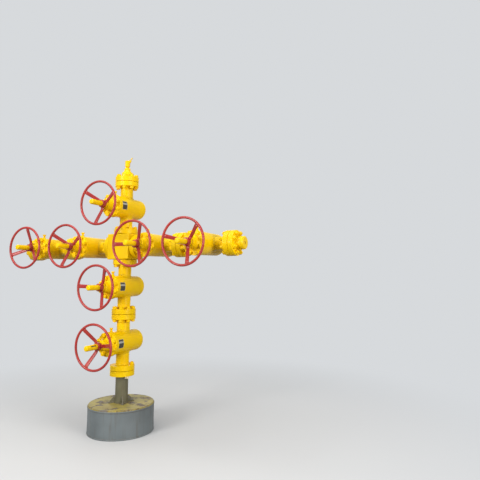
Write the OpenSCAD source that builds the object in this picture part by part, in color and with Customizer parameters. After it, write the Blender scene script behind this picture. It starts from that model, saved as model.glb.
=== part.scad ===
// Oil wellhead valve stack on its test stand.
// A vertical run of three gate valves with a studded cross between the upper two, a wing of two
// gate valves on each side of the cross, threaded companion flanges at the outlets and a tree cap
// with a needle valve on top. The run stands on a pipe that is welded to a filled drum.
// Millimetres, +Z up. The origin is the centre of the drum's underside. The right wing lies along
// +X, and the stems and handwheels point to -Y, the front.

/* [Flanged joints] */
// Diameter of the flow bore
bore_d = 78; // [60:1:90]
// Outside diameter of every end flange
flange_od = 270; // [256:1:290]
// Thickness of an end flange behind its raised face
flange_t = 56; // [40:1:66]
// Diameter of the raised face that seals a joint
raised_face_d = 152; // [130:1:170]
// Height of the raised face
raised_face_h = 2; // [1:0.5:4]
// Diameter of the stud circle of a flange
stud_circle_d = 216; // [200:1:222]
// Diameter of a stud hole in a flange
stud_hole_d = 28.6; // [26:0.1:32]
// Studs in a flanged joint
stud_count = 8; // [8:1:8]
// Chamfer on the rims of the flanges
flange_chamfer = 2.5; // [1:0.5:5]
// Radius between a neck and the flange that it carries
neck_fillet = 14; // [6:1:24]

/* [Gate valve body] */
// Length of a valve from one joint face to the other
valve_length = 619; // [600:1:680]
// Diameter of the two necks
neck_d = 146; // [120:1:150]
// Diameter of the body at its bonnet end
body_front_d = 246; // [236:1:256]
// Diameter of the body at its rear end
body_rear_d = 236; // [200:1:244]
// Distance from the flow axis to the bonnet joint
bonnet_joint_y = 226; // [200:1:236]
// Length of the straight part at the bonnet end
body_front_length = 124; // [60:1:130]
// Distance from the flow axis to the rear end
body_rear_y = 240; // [200:1:250]
// Radius that rounds the rear end
body_rear_round = 36; // [20:1:70]
// Side of the square pad for the grease fitting on top of the bonnet end
fitting_pad_w = 32; // [24:1:44]
// Height of that pad above the body
fitting_pad_h = 7; // [5:1:12]
// Distance from the front of the body to the pad
fitting_pad_setback = 2; // [1:1:12]
// Thickness of the closed gate between the two halves of the bore
gate_t = 64; // [40:1:100]

/* [Bonnet] */
// Outside diameter of the bonnet flange
bonnet_flange_od = 264; // [256:1:280]
// Thickness of the bonnet flange
bonnet_flange_t = 44; // [36:1:66]
// Diameter of the bonnet neck where it leaves its flange
bonnet_neck_d = 148; // [130:1:156]
// Length of the bonnet neck
bonnet_neck_length = 58; // [46:1:90]

/* [Bearing cap and stem] */
// Diameter of the bearing housing
bearing_od = 118; // [108:1:128]
// Length of the bearing housing
bearing_length = 44; // [36:1:56]
// Diameter of the collar in front of the housing
collar_d = 86; // [70:1:96]
// Length of that collar
collar_length = 22; // [14:1:30]
// Diameter of the spindle that carries the handwheel
spindle_d = 46; // [40:1:50]
// Diameter of the stem inside its guard
stem_d = 34; // [28:1:36]
// Length of the stem that stands out of the spindle
stem_length = 72; // [40:1:100]

/* [Handwheel] */
// Outside diameter of the rim
wheel_od = 496; // [440:1:560]
// Diameter of the round bar of the rim
rim_bar_d = 26; // [20:1:32]
// Diameter of the hub
hub_d = 84; // [74:1:96]
// Length of the hub
hub_length = 46; // [40:1:60]
// Distance from the hub's rear face out to the plane of the rim
wheel_dish = 92; // [60:1:110]
// Width of a spoke
spoke_w = 36; // [24:1:44]
// Thickness of a spoke
spoke_t = 11; // [8:1:16]
// Length of the flat foot with which a spoke leaves the hub
spoke_foot = 26; // [10:1:40]
// Spokes in a wheel
spoke_count = 3; // [3:1:5]
// Radial clearance of the wheel on its spindle
wheel_clearance = 0.05; // [0.02:0.01:0.1]
// Gap between the hub and the collar behind it
hub_gap = 0.5; // [0.3:0.1:1]

/* [Stem guard] */
// Outside diameter of the guard
guard_od = 58; // [54:1:66]
// Wall of the guard
guard_wall = 6; // [4:0.5:8]
// Length of the guard
guard_length = 156; // [130:1:190]
// Radius on the closed end of the guard
guard_round = 9; // [4:1:14]
// Length of the sight slots
slot_length = 78; // [50:1:90]
// Width of the sight slots
slot_w = 15; // [10:1:20]
// Distance from the foot of the guard to its sight slots
slot_start = 22; // [14:1:30]

/* [Cross] */
// Size of the cross block between its wing joints
cross_w = 304; // [296:1:340]
// Size of the cross block from front to back
cross_d = 280; // [272:1:320]
// Size of the cross block between its vertical joints
cross_h = 296; // [288:1:340]
// Chamfer on the edges of the block
cross_chamfer = 8; // [3:1:12]
// Diameter of a tapped stud hole in the block
tapped_hole_d = 25.8; // [25:0.1:28]
// Depth of a tapped stud hole
tapped_hole_depth = 42; // [30:1:44]

/* [Outlet flanges] */
// Diameter of the threaded port in the end of a hub
outlet_d = 26; // [20:1:40]
// Depth of that port
outlet_depth = 40; // [24:1:60]
// Diameter of the passage that leads to it
outlet_passage_d = 12; // [8:1:18]
// Diameter of the hub on a companion flange
outlet_hub_d = 138; // [124:1:150]
// Length of that hub
outlet_hub_length = 92; // [64:1:110]
// Chamfer round the end of that hub
outlet_hub_chamfer = 8; // [2:1:16]

/* [Tree cap] */
// Diameter of the step on the cap
cap_step_d = 134; // [120:1:150]
// Height of the step
cap_step_h = 60; // [30:1:80]
// Diameter at the foot of the cap's cone
cap_cone_d = 104; // [80:1:116]
// Diameter of the boss on the cap's cone
cap_cone_top_d = 72; // [56:1:78]
// Height of the cone with its boss
cap_cone_h = 57; // [40:1:80]
// Diameter of the gauge passage
gauge_bore_d = 8; // [6:1:10]

/* [Needle valve] */
// Diameter of the threaded nipple under the needle valve
nipple_d = 28; // [24:1:32]
// Length of the nipple
nipple_length = 8; // [6:1:30]
// Diameter of the needle valve's body
needle_d = 58; // [50:1:66]
// Height of the needle valve's body
needle_h = 80; // [70:1:100]
// Chamfer at the foot of the body
needle_chamfer = 10; // [6:1:14]
// Lean of the needle valve's bonnet from the vertical
needle_lean = 40; // [30:1:45]
// Diameter of the needle valve's bonnet
needle_bonnet_d = 30; // [26:1:34]
// Distance from the body's axis to the end of the bonnet, along its lean
needle_bonnet_reach = 68; // [64:1:90]
// Diameter of the gauge port in the top
gauge_port_d = 18; // [14:1:22]
// Depth of the gauge port
gauge_port_depth = 20; // [14:1:26]
// Diameter of the needle's stem
needle_stem_d = 12; // [10:1:14]
// Length of the stem that stands out of the bonnet
needle_stem_length = 38; // [30:1:60]
// Radial clearance of the stem in the bonnet
needle_clearance = 0.05; // [0.02:0.01:0.1]
// Length of the cross bar that turns the stem
needle_bar_length = 56; // [40:1:90]
// Diameter of that bar
needle_bar_d = 8; // [6:1:9]
// Turn of the bar round the stem at rest
needle_bar_turn = 128; // [0:1:180]

/* [Stand] */
// Diameter of the drum
drum_d = 730; // [600:1:900]
// Height of the filled drum
drum_h = 288; // [200:1:400]
// Radius on the drum's lower rim
drum_round = 8; // [4:1:14]
// Diameter of the steel plate on the drum
plate_d = 712; // [580:1:880]
// Thickness of that plate
plate_t = 12; // [8:1:20]
// Outside diameter of the stand pipe
pipe_od = 140; // [124:1:150]
// Wall of the stand pipe
pipe_wall = 12; // [8:1:16]
// Length of the stand pipe
pipe_length = 293; // [200:1:600]
// Gussets round the foot of the pipe
gusset_count = 4; // [3:1:6]
// Height of a gusset
gusset_h = 74; // [40:1:100]
// Length of a gusset along the plate
gusset_w = 66; // [40:1:100]
// Thickness of a gusset
gusset_t = 10; // [6:1:14]

/* [Hidden] */
CURVE = 64;
ARC_STEPS = 6;
EPS = 0.01;
CUT = 2;

joint_half = valve_length / 2;
plate_top_z = drum_h + plate_t;
bottom_flange_z = plate_top_z + pipe_length;
bottom_joint_z = bottom_flange_z + flange_t + raised_face_h;
lower_master_z = bottom_joint_z + joint_half;
upper_master_z = lower_master_z + valve_length;
cross_z = upper_master_z + joint_half + cross_h / 2;
swab_z = cross_z + cross_h / 2 + joint_half;
cap_joint_z = swab_z + joint_half;
inner_wing_x = cross_w / 2 + joint_half;
outer_wing_x = inner_wing_x + valve_length;
outlet_joint_x = outer_wing_x + joint_half;

// Distances along the stem, from the flow axis towards the handwheel
bonnet_front = bonnet_joint_y + bonnet_flange_t;
bearing_back = bonnet_front + bonnet_neck_length;
collar_back = bearing_back + bearing_length;
collar_front = collar_back + collar_length;
hub_back = collar_front + hub_gap;
hub_front = hub_back + hub_length;
rim_plane = hub_back + wheel_dish;
rim_r = (wheel_od - rim_bar_d) / 2;

cap_top_z = cap_joint_z + raised_face_h + flange_t + cap_step_h + cap_cone_h;
needle_z = cap_top_z + nipple_length;
needle_bonnet_z = needle_z + needle_h * 0.36;

// Name, place, whether the flow runs along X, and the turn of the handwheel at rest
LOWER_MASTER = ["lower_master", [0, 0, lower_master_z], false, 6.5];
UPPER_MASTER = ["upper_master", [0, 0, upper_master_z], false, 56];
SWAB = ["swab", [0, 0, swab_z], false, 24];
LEFT_INNER = ["left_inner", [-inner_wing_x, 0, cross_z], true, 23];
LEFT_OUTER = ["left_outer", [-outer_wing_x, 0, cross_z], true, 82];
RIGHT_INNER = ["right_inner", [inner_wing_x, 0, cross_z], true, 61];
RIGHT_OUTER = ["right_outer", [outer_wing_x, 0, cross_z], true, 44];
VALVES = [LOWER_MASTER, UPPER_MASTER, SWAB, LEFT_INNER, LEFT_OUTER, RIGHT_INNER, RIGHT_OUTER];
VALVE_PARTS = ["body", "bonnet", "bearing_cap", "handwheel", "stem_guard"];

// Points of an arc from one angle to another round a centre
function arc(centre, r, from, to, steps = ARC_STEPS) =
    [for (i = [0 : steps]) centre + r * [cos(from + (to - from) * i / steps), sin(from + (to - from) * i / steps)]];

// Turns local +Z, along which a stem is drawn, to -Y
module along_stem() {
    rotate([90, 0, 0]) children();
}

// Sets a child at a valve, with its flow along Z or X
module at_valve(valve) {
    translate(valve[1]) rotate([0, valve[2] ? 90 : 0, 0]) children();
}

// Copies a child round the local Z axis, half a step off the X axis
module on_circle(count, d) {
    for (i = [0 : count - 1])
        rotate([0, 0, (i + 0.5) * 360 / count]) translate([d / 2, 0, 0]) children();
}

// Half of an end: neck, fillet, flange and raised face, with the joint face at the given height
module flanged_neck(face_z, from_z, neck) {
    back_z = face_z - raised_face_h - flange_t;
    rim_z = face_z - raised_face_h;
    fillet = arc([neck / 2 + neck_fillet, back_z - neck_fillet], neck_fillet, 180, 90);
    rotate_extrude($fn = CURVE)
        polygon(concat(
            [[0, from_z], [neck / 2, from_z]],
            fillet,
            [[flange_od / 2 - flange_chamfer, back_z], [flange_od / 2, back_z + flange_chamfer]],
            [[flange_od / 2, rim_z - flange_chamfer], [flange_od / 2 - flange_chamfer, rim_z]],
            [[raised_face_d / 2, rim_z], [raised_face_d / 2, face_z], [0, face_z]]
        ));
}

// Stud holes through a flange whose joint face is at the given height
module stud_holes(face_z) {
    translate([0, 0, face_z - flange_t - raised_face_h - CUT])
        on_circle(stud_count, stud_circle_d)
            cylinder(d = stud_hole_d, h = flange_t + raised_face_h + 2 * CUT, $fn = CURVE);
}

// The cast body, drawn along the stem
module body_barrel() {
    rear_arc = arc([body_rear_d / 2 - body_rear_round, body_rear_round - body_rear_y], body_rear_round, -90, 0);
    taper_end = bonnet_joint_y - raised_face_h - body_front_length;
    rim = bonnet_joint_y - raised_face_h;
    rotate_extrude($fn = CURVE)
        polygon(concat(
            [[0, -body_rear_y]],
            rear_arc,
            [[body_front_d / 2, taper_end], [body_front_d / 2, rim - flange_chamfer]],
            [[body_front_d / 2 - flange_chamfer, rim], [bonnet_seat_d() / 2, rim]],
            [[bonnet_seat_d() / 2, bonnet_joint_y], [0, bonnet_joint_y]]
        ));
}

// The bonnet seals inside its stud circle
function bonnet_seat_d() = stud_circle_d - stud_hole_d - 8;

// Body of a gate valve with both flanges, its bore stopped by the closed gate
module valve_body(valve) {
    bore_depth = joint_half - gate_t / 2;
    color("gold") {
        at_valve(valve)
            difference() {
                union() {
                    along_stem() body_barrel();
                    flanged_neck(joint_half, 0, neck_d);
                    mirror([0, 0, 1]) flanged_neck(joint_half, 0, neck_d);
                }
                for (side = [0, 1])
                    mirror([0, 0, side]) {
                        translate([0, 0, gate_t / 2]) cylinder(d = bore_d, h = bore_depth + CUT, $fn = CURVE);
                        stud_holes(joint_half);
                    }
                along_stem()
                    translate([0, 0, bonnet_joint_y - tapped_hole_depth])
                        on_circle(stud_count, stud_circle_d)
                            cylinder(d = tapped_hole_d, h = tapped_hole_depth + CUT, $fn = CURVE);
            }
        translate(valve[1]) fitting_pad();
    }
}

// Pad for the grease fitting, on top of the bonnet end however the flow runs
module fitting_pad() {
    translate([
        -fitting_pad_w / 2,
        raised_face_h + fitting_pad_setback - bonnet_joint_y,
        body_front_d / 2 - fitting_pad_w / 2
    ])
        cube([fitting_pad_w, fitting_pad_w, fitting_pad_w / 2 + fitting_pad_h]);
}

// Bonnet: bolted flange and tapering neck
module bonnet(valve) {
    shoulder = bonnet_front + bonnet_neck_length * 0.62;
    foot = arc([bonnet_neck_d / 2 + neck_fillet, bonnet_front + neck_fillet], neck_fillet, 270, 180);
    color("gold")
        translate(valve[1])
            difference() {
                along_stem()
                    rotate_extrude($fn = CURVE)
                        polygon(concat(
                            [[0, bonnet_joint_y], [bonnet_flange_od / 2 - flange_chamfer, bonnet_joint_y]],
                            [[bonnet_flange_od / 2, bonnet_joint_y + flange_chamfer]],
                            [[bonnet_flange_od / 2, bonnet_front - flange_chamfer]],
                            [[bonnet_flange_od / 2 - flange_chamfer, bonnet_front]],
                            foot,
                            [[bearing_od / 2 - 6, shoulder], [bearing_od / 2, shoulder + 6]],
                            [[bearing_od / 2, bearing_back], [0, bearing_back]]
                        ));
                along_stem()
                    translate([0, 0, bonnet_joint_y - CUT])
                        on_circle(stud_count, stud_circle_d)
                            cylinder(d = stud_hole_d, h = bonnet_flange_t + 2 * CUT, $fn = CURVE);
            }
}

// Bearing cap with the spindle and the stem that stand out of it
module bearing_cap(valve) {
    spindle_end = hub_front - EPS;
    color("goldenrod")
        translate(valve[1])
            along_stem()
                rotate_extrude($fn = CURVE)
                    polygon([
                        [0, bearing_back],
                        [bearing_od / 2, bearing_back],
                        [bearing_od / 2, collar_back - 4],
                        [bearing_od / 2 - 4, collar_back],
                        [collar_d / 2, collar_back],
                        [collar_d / 2, collar_front - 2],
                        [collar_d / 2 - 2, collar_front],
                        [spindle_d / 2, collar_front],
                        [spindle_d / 2, spindle_end],
                        [stem_d / 2, spindle_end],
                        [stem_d / 2, spindle_end + stem_length - 3],
                        [stem_d / 2 - 3, spindle_end + stem_length],
                        [0, spindle_end + stem_length]
                    ]);
}

// One spoke: a flat bar with a foot on the hub, a dished run and a toe in the rim's plane
module spoke() {
    foot_r = hub_d / 2 + spoke_foot;
    toe_r = rim_r - spoke_foot;
    foot_z = hub_back + spoke_t / 2 + 8;
    toe_z = rim_plane - spoke_t / 2 + 2;
    lean = atan2(toe_z - foot_z, toe_r - foot_r);
    shift = spoke_t * tan(lean / 2);
    rotate([90, 0, 0])
        translate([0, 0, -spoke_w / 2])
            linear_extrude(height = spoke_w)
                polygon([
                    [hub_d / 2 - 6, foot_z - spoke_t / 2],
                    [foot_r + shift / 2, foot_z - spoke_t / 2],
                    [toe_r + shift / 2, toe_z - spoke_t / 2],
                    [rim_r, toe_z - spoke_t / 2],
                    [rim_r, toe_z + spoke_t / 2],
                    [toe_r - shift / 2, toe_z + spoke_t / 2],
                    [foot_r - shift / 2, foot_z + spoke_t / 2],
                    [hub_d / 2 - 6, foot_z + spoke_t / 2]
                ]);
}

// Handwheel: round-bar rim, flat spokes and a bored hub
module handwheel(valve) {
    color("firebrick")
        translate(valve[1])
            along_stem()
                rotate([0, 0, valve[3]])
                    difference() {
                        union() {
                            translate([0, 0, rim_plane])
                                rotate_extrude($fn = CURVE)
                                    translate([rim_r, 0]) circle(d = rim_bar_d, $fn = CURVE);
                            rotate_extrude($fn = CURVE)
                                polygon([
                                    [0, hub_back],
                                    [hub_d / 2, hub_back],
                                    [hub_d / 2, hub_front - 6],
                                    [hub_d / 2 - 6, hub_front],
                                    [0, hub_front]
                                ]);
                            for (i = [0 : spoke_count - 1])
                                rotate([0, 0, i * 360 / spoke_count]) spoke();
                        }
                        translate([0, 0, hub_back - CUT])
                            cylinder(d = spindle_d + 2 * wheel_clearance, h = hub_length + 2 * CUT, $fn = CURVE);
                    }
}

// Stem guard: a closed tube on the hub with two sight slots
module stem_guard(valve) {
    inner_r = guard_od / 2 - guard_wall;
    end_z = hub_front + guard_length;
    color("gold")
        translate(valve[1])
            along_stem()
                rotate([0, 0, valve[3] + 30])
                    difference() {
                        rotate_extrude($fn = CURVE)
                            polygon(concat(
                                [[inner_r, hub_front], [guard_od / 2, hub_front]],
                                arc([guard_od / 2 - guard_round, end_z - guard_round], guard_round, 0, 90),
                                [[0, end_z], [0, end_z - guard_wall], [inner_r, end_z - guard_wall]]
                            ));
                        for (side = [0, 180])
                            rotate([0, 0, side])
                                translate([0, 0, hub_front + slot_start])
                                    sight_slot();
                    }
}

// Cutter for one sight slot, with round ends
module sight_slot() {
    rotate([90, 0, 90])
        linear_extrude(height = guard_od)
            union() {
                translate([-slot_w / 2, slot_w / 2]) square([slot_w, slot_length - slot_w]);
                translate([0, slot_w / 2]) circle(d = slot_w, $fn = CURVE);
                translate([0, slot_length - slot_w / 2]) circle(d = slot_w, $fn = CURVE);
            }
}

// Outline of the block seen along one axis, with its corners cut off
module block_outline(w, d) {
    polygon([
        [cross_chamfer - w / 2, -d / 2],
        [w / 2 - cross_chamfer, -d / 2],
        [w / 2, cross_chamfer - d / 2],
        [w / 2, d / 2 - cross_chamfer],
        [w / 2 - cross_chamfer, d / 2],
        [cross_chamfer - w / 2, d / 2],
        [-w / 2, d / 2 - cross_chamfer],
        [-w / 2, cross_chamfer - d / 2]
    ]);
}

// Raised face, bore and tapped holes of one side of the block, drawn along +Z
module block_port_cut(half) {
    cylinder(d = bore_d, h = half + CUT, $fn = CURVE);
    translate([0, 0, half - raised_face_h - tapped_hole_depth])
        on_circle(stud_count, stud_circle_d)
            cylinder(d = tapped_hole_d, h = tapped_hole_depth + raised_face_h + CUT, $fn = CURVE);
}

// Studded cross: a forged block with four ports
module cross_block() {
    body_w = cross_w - 2 * raised_face_h;
    body_h = cross_h - 2 * raised_face_h;
    color("gold")
        translate([0, 0, cross_z])
            difference() {
                union() {
                    intersection() {
                        translate([0, 0, -body_h / 2]) linear_extrude(height = body_h) block_outline(body_w, cross_d);
                        rotate([90, 0, 0])
                            translate([0, 0, -cross_d / 2]) linear_extrude(height = cross_d) block_outline(body_w, body_h);
                    }
                    translate([0, 0, -cross_h / 2]) cylinder(d = raised_face_d, h = cross_h, $fn = CURVE);
                    rotate([0, 90, 0])
                        translate([0, 0, -cross_w / 2]) cylinder(d = raised_face_d, h = cross_w, $fn = CURVE);
                }
                for (turn = [0, 180]) {
                    rotate([0, turn, 0]) block_port_cut(cross_h / 2);
                    rotate([0, 90 + turn, 0]) block_port_cut(cross_w / 2);
                }
            }
}

// Companion flange with its joint face at local zero and a ported hub along local +Z
module companion_flange() {
    rim = raised_face_h;
    back = raised_face_h + flange_t;
    end = back + outlet_hub_length;
    difference() {
        rotate_extrude($fn = CURVE)
            polygon([
                [0, 0],
                [raised_face_d / 2, 0],
                [raised_face_d / 2, rim],
                [flange_od / 2 - flange_chamfer, rim],
                [flange_od / 2, rim + flange_chamfer],
                [flange_od / 2, back - flange_chamfer],
                [flange_od / 2 - flange_chamfer, back],
                [outlet_hub_d / 2 + 4, back],
                [outlet_hub_d / 2, back + 4],
                [outlet_hub_d / 2, end - outlet_hub_chamfer],
                [outlet_hub_d / 2 - outlet_hub_chamfer, end],
                [0, end]
            ]);
        translate([0, 0, -CUT]) cylinder(d = outlet_passage_d, h = end + CUT, $fn = CURVE);
        translate([0, 0, end - outlet_depth]) cylinder(d = outlet_d, h = outlet_depth + CUT, $fn = CURVE);
        translate([0, 0, -CUT])
            on_circle(stud_count, stud_circle_d)
                cylinder(d = stud_hole_d, h = back + 2 * CUT, $fn = CURVE);
    }
}

module left_outlet_flange() {
    color("gold")
        translate([-outlet_joint_x, 0, cross_z])
            rotate([0, -90, 0]) companion_flange();
}

module right_outlet_flange() {
    color("gold")
        translate([outlet_joint_x, 0, cross_z])
            rotate([0, 90, 0]) companion_flange();
}

// Flange on the stand pipe, under the lower master valve
module bottom_flange() {
    color("gold")
        translate([0, 0, bottom_joint_z])
            mirror([0, 0, 1])
                difference() {
                    rotate_extrude($fn = CURVE)
                        polygon([
                            [0, 0],
                            [raised_face_d / 2, 0],
                            [raised_face_d / 2, raised_face_h],
                            [flange_od / 2 - flange_chamfer, raised_face_h],
                            [flange_od / 2, raised_face_h + flange_chamfer],
                            [flange_od / 2, raised_face_h + flange_t - flange_chamfer],
                            [flange_od / 2 - flange_chamfer, raised_face_h + flange_t],
                            [0, raised_face_h + flange_t]
                        ]);
                    translate([0, 0, -CUT])
                        cylinder(d = bore_d, h = raised_face_h + flange_t + 2 * CUT, $fn = CURVE);
                    translate([0, 0, -CUT])
                        on_circle(stud_count, stud_circle_d)
                            cylinder(d = stud_hole_d, h = raised_face_h + flange_t + 2 * CUT, $fn = CURVE);
                }
}

// Tree cap: a blind flange with a stepped cone and a gauge passage
module tree_cap() {
    rim = raised_face_h;
    top = raised_face_h + flange_t;
    step_top = top + cap_step_h;
    cone_top = step_top + cap_cone_h;
    color("gold")
        translate([0, 0, cap_joint_z])
            difference() {
                rotate_extrude($fn = CURVE)
                    polygon([
                        [0, 0],
                        [raised_face_d / 2, 0],
                        [raised_face_d / 2, rim],
                        [flange_od / 2 - flange_chamfer, rim],
                        [flange_od / 2, rim + flange_chamfer],
                        [flange_od / 2, top - flange_chamfer],
                        [flange_od / 2 - flange_chamfer, top],
                        [cap_step_d / 2 + 4, top],
                        [cap_step_d / 2, top + 4],
                        [cap_step_d / 2 - 5, step_top],
                        [cap_cone_d / 2, step_top],
                        [cap_cone_top_d / 2, step_top + cap_cone_h * 0.42],
                        [cap_cone_top_d / 2, cone_top - cap_cone_h * 0.16],
                        [cap_cone_top_d / 2 - cap_cone_h * 0.16, cone_top],
                        [0, cone_top]
                    ]);
                translate([0, 0, -CUT]) cylinder(d = gauge_bore_d, h = cone_top + 2 * CUT, $fn = CURVE);
                translate([0, 0, -CUT])
                    on_circle(stud_count, stud_circle_d)
                        cylinder(d = stud_hole_d, h = top + 2 * CUT, $fn = CURVE);
            }
}

// Sets a child on the needle valve's leaning bonnet, drawn along +Z
module on_needle_bonnet() {
    translate([0, 0, needle_bonnet_z]) rotate([0, needle_lean, 0]) children();
}

// Needle valve: upright body with a gauge port in its top and a leaning bonnet
module needle_valve_body() {
    stem_hole_depth = needle_stem_length;
    color("gold")
        difference() {
            union() {
                translate([0, 0, cap_top_z]) cylinder(d = nipple_d, h = nipple_length + EPS, $fn = CURVE);
                translate([0, 0, needle_z])
                    rotate_extrude($fn = CURVE)
                        polygon([
                            [0, 0],
                            [needle_d / 2 - needle_chamfer, 0],
                            [needle_d / 2, needle_chamfer],
                            [needle_d / 2, needle_h - 3],
                            [needle_d / 2 - 3, needle_h],
                            [0, needle_h]
                        ]);
                on_needle_bonnet() cylinder(d = needle_bonnet_d, h = needle_bonnet_reach, $fn = CURVE);
            }
            translate([0, 0, needle_z + needle_h - gauge_port_depth])
                cylinder(d = gauge_port_d, h = gauge_port_depth + CUT, $fn = CURVE);
            on_needle_bonnet()
                translate([0, 0, needle_bonnet_reach - stem_hole_depth])
                    cylinder(d = needle_stem_d + 2 * needle_clearance, h = stem_hole_depth + CUT, $fn = CURVE);
        }
}

// Stem of the needle valve with the cross bar that turns it
module needle_valve_handle() {
    inside = needle_stem_length - 2;
    outside = needle_stem_length;
    color("goldenrod")
        on_needle_bonnet()
            translate([0, 0, needle_bonnet_reach])
                difference() {
                    union() {
                        translate([0, 0, -inside]) cylinder(d = needle_stem_d, h = inside + outside, $fn = CURVE);
                        rotate([0, 0, needle_bar_turn])
                            translate([-needle_bar_length / 2, 0, outside - needle_bar_d])
                                rotate([0, 90, 0]) cylinder(d = needle_bar_d, h = needle_bar_length, $fn = CURVE);
                    }
                    translate([0, 0, outside - 1.5]) cylinder(d = 4, h = CUT + 1.5, $fn = CURVE);
                }
}

// Filled drum that carries the stand
module drum() {
    color("slategray")
        rotate_extrude($fn = CURVE)
            polygon(concat(
                [[0, 0]],
                arc([drum_d / 2 - drum_round, drum_round], drum_round, -90, 0),
                [[drum_d / 2, drum_h - 3], [drum_d / 2 - 3, drum_h], [0, drum_h]]
            ));
}

// Steel plate on the drum
module drum_plate() {
    color("gold")
        translate([0, 0, drum_h]) cylinder(d = plate_d, h = plate_t, $fn = CURVE);
}

// Pipe that carries the bottom flange
module stand_pipe() {
    color("darkolivegreen")
        translate([0, 0, plate_top_z])
            difference() {
                cylinder(d = pipe_od, h = pipe_length, $fn = CURVE);
                translate([0, 0, -CUT]) cylinder(d = pipe_od - 2 * pipe_wall, h = pipe_length + 2 * CUT, $fn = CURVE);
            }
}

// Gussets between the pipe and the plate, fitted round the pipe
module pipe_gussets() {
    color("darkolivegreen")
        difference() {
            for (i = [0 : gusset_count - 1])
                rotate([0, 0, (i + 0.5) * 360 / gusset_count])
                    translate([0, gusset_t / 2, plate_top_z])
                        rotate([90, 0, 0])
                            linear_extrude(height = gusset_t)
                                polygon([
                                    [pipe_od / 2 - 4, 0],
                                    [pipe_od / 2 + gusset_w, 0],
                                    [pipe_od / 2 + gusset_w, 8],
                                    [pipe_od / 2 + 8, gusset_h],
                                    [pipe_od / 2 - 4, gusset_h]
                                ]);
            translate([0, 0, plate_top_z - CUT]) cylinder(d = pipe_od, h = gusset_h + 2 * CUT, $fn = CURVE);
        }
}

drum();
drum_plate();
stand_pipe();
pipe_gussets();
bottom_flange();
cross_block();
tree_cap();
needle_valve_body();
needle_valve_handle();
left_outlet_flange();
right_outlet_flange();
for (valve = VALVES) {
    valve_body(valve);
    bonnet(valve);
    bearing_cap(valve);
    handwheel(valve);
    stem_guard(valve);
}
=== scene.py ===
"""Looks of an oil wellhead valve stack on its test stand.

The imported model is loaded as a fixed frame, and every piece made here takes its place from it.
Metres, +Z up. The stems and handwheels point to -Y, and the right wing lies along +X.
"""

import logging
import math
import random
from collections.abc import Callable, Mapping, Sequence
from dataclasses import dataclass, field, replace
from enum import Enum

import bmesh
import bpy
from mathutils import Matrix, Vector, noise


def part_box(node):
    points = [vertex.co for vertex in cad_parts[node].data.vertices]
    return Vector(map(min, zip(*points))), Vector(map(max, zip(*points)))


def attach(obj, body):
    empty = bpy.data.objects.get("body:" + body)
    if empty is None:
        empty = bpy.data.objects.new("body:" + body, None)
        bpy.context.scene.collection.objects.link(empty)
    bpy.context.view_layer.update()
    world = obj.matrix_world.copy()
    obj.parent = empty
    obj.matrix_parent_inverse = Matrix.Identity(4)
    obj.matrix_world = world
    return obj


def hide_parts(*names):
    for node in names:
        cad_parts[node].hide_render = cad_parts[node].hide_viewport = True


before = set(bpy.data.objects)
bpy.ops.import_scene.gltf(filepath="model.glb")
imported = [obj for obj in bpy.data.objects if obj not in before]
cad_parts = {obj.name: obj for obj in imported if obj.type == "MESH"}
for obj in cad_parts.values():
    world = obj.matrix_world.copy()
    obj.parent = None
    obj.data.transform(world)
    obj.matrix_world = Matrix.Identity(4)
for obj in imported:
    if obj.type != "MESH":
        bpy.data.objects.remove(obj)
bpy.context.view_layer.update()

LOG = logging.getLogger("valve_stack")

# Radius and height of an outline's corner, and its rounding where it has one
Corner = tuple[float, float] | tuple[float, float, float]
Rgb = tuple[float, float, float]

MERGE_DISTANCE = 1e-6
ARC_STEPS = 4
SHARP_ANGLE = math.radians(32.0)
# Distance from an arc to the point beside it, which keeps the mark near its edge
SUPPORT = 0.004
# Rounding at which an outer edge no longer wears
SOFT_EDGE = 0.012
# Diameter of a nut's washer face as a share of the distance across its flats
WASHER_FACE = 0.95
# Slope at which the corners of a nut are turned off
CORNER_SLOPE = math.radians(30.0)
# Height, as a share of its radius, and scale of a weld bead's ripples and of its broader swell
BEAD_WAVES = ((0.30, 180.0), (0.25, 60.0))
# Darkening over a weld bead: grime, and painted shade along the seam it fills
BEAD_GRIME_AND_SHADE = 0.6
# How far a stem guard is screwed on beyond its wheel's first spoke
GUARD_TURN = math.radians(30.0)
# Local +Z, along which a stem is drawn, turns to -Y
ALONG_STEM = Matrix.Rotation(math.radians(90.0), 4, "X")
ALONG_X = Matrix.Rotation(math.radians(90.0), 4, "Y")
UPSIDE_DOWN = Matrix.Rotation(math.pi, 4, "X")


def shift(x: float = 0.0, y: float = 0.0, z: float = 0.0) -> Matrix:
    """Returns the matrix that moves by the given distances."""
    return Matrix.Translation((x, y, z))


def turn(angle: float) -> Matrix:
    """Returns the matrix that turns about local Z, in radians."""
    return Matrix.Rotation(angle, 4, "Z")


@dataclass(frozen=True)
class Finish:
    """A material under the name of its finish, because Blender changes a name that the frame has taken."""

    name: str
    material: bpy.types.Material


def linked(name: str, data: bpy.types.ID) -> bpy.types.Object:
    """Adds an object to the scene.

    Args:
        name: Its name.
        data: The mesh, curve, lamp or camera that it shows.

    Returns:
        The new object.
    """
    obj = bpy.data.objects.new(name, data)
    bpy.context.scene.collection.objects.link(obj)
    return obj


# Meshes


@dataclass(frozen=True)
class ProfilePoint:
    """A point of a turned profile, with its marks for worn paint and for grime and painted shade."""

    radius: float
    height: float
    wear: float = 0.0
    grime_and_shade: float = 0.0


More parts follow.
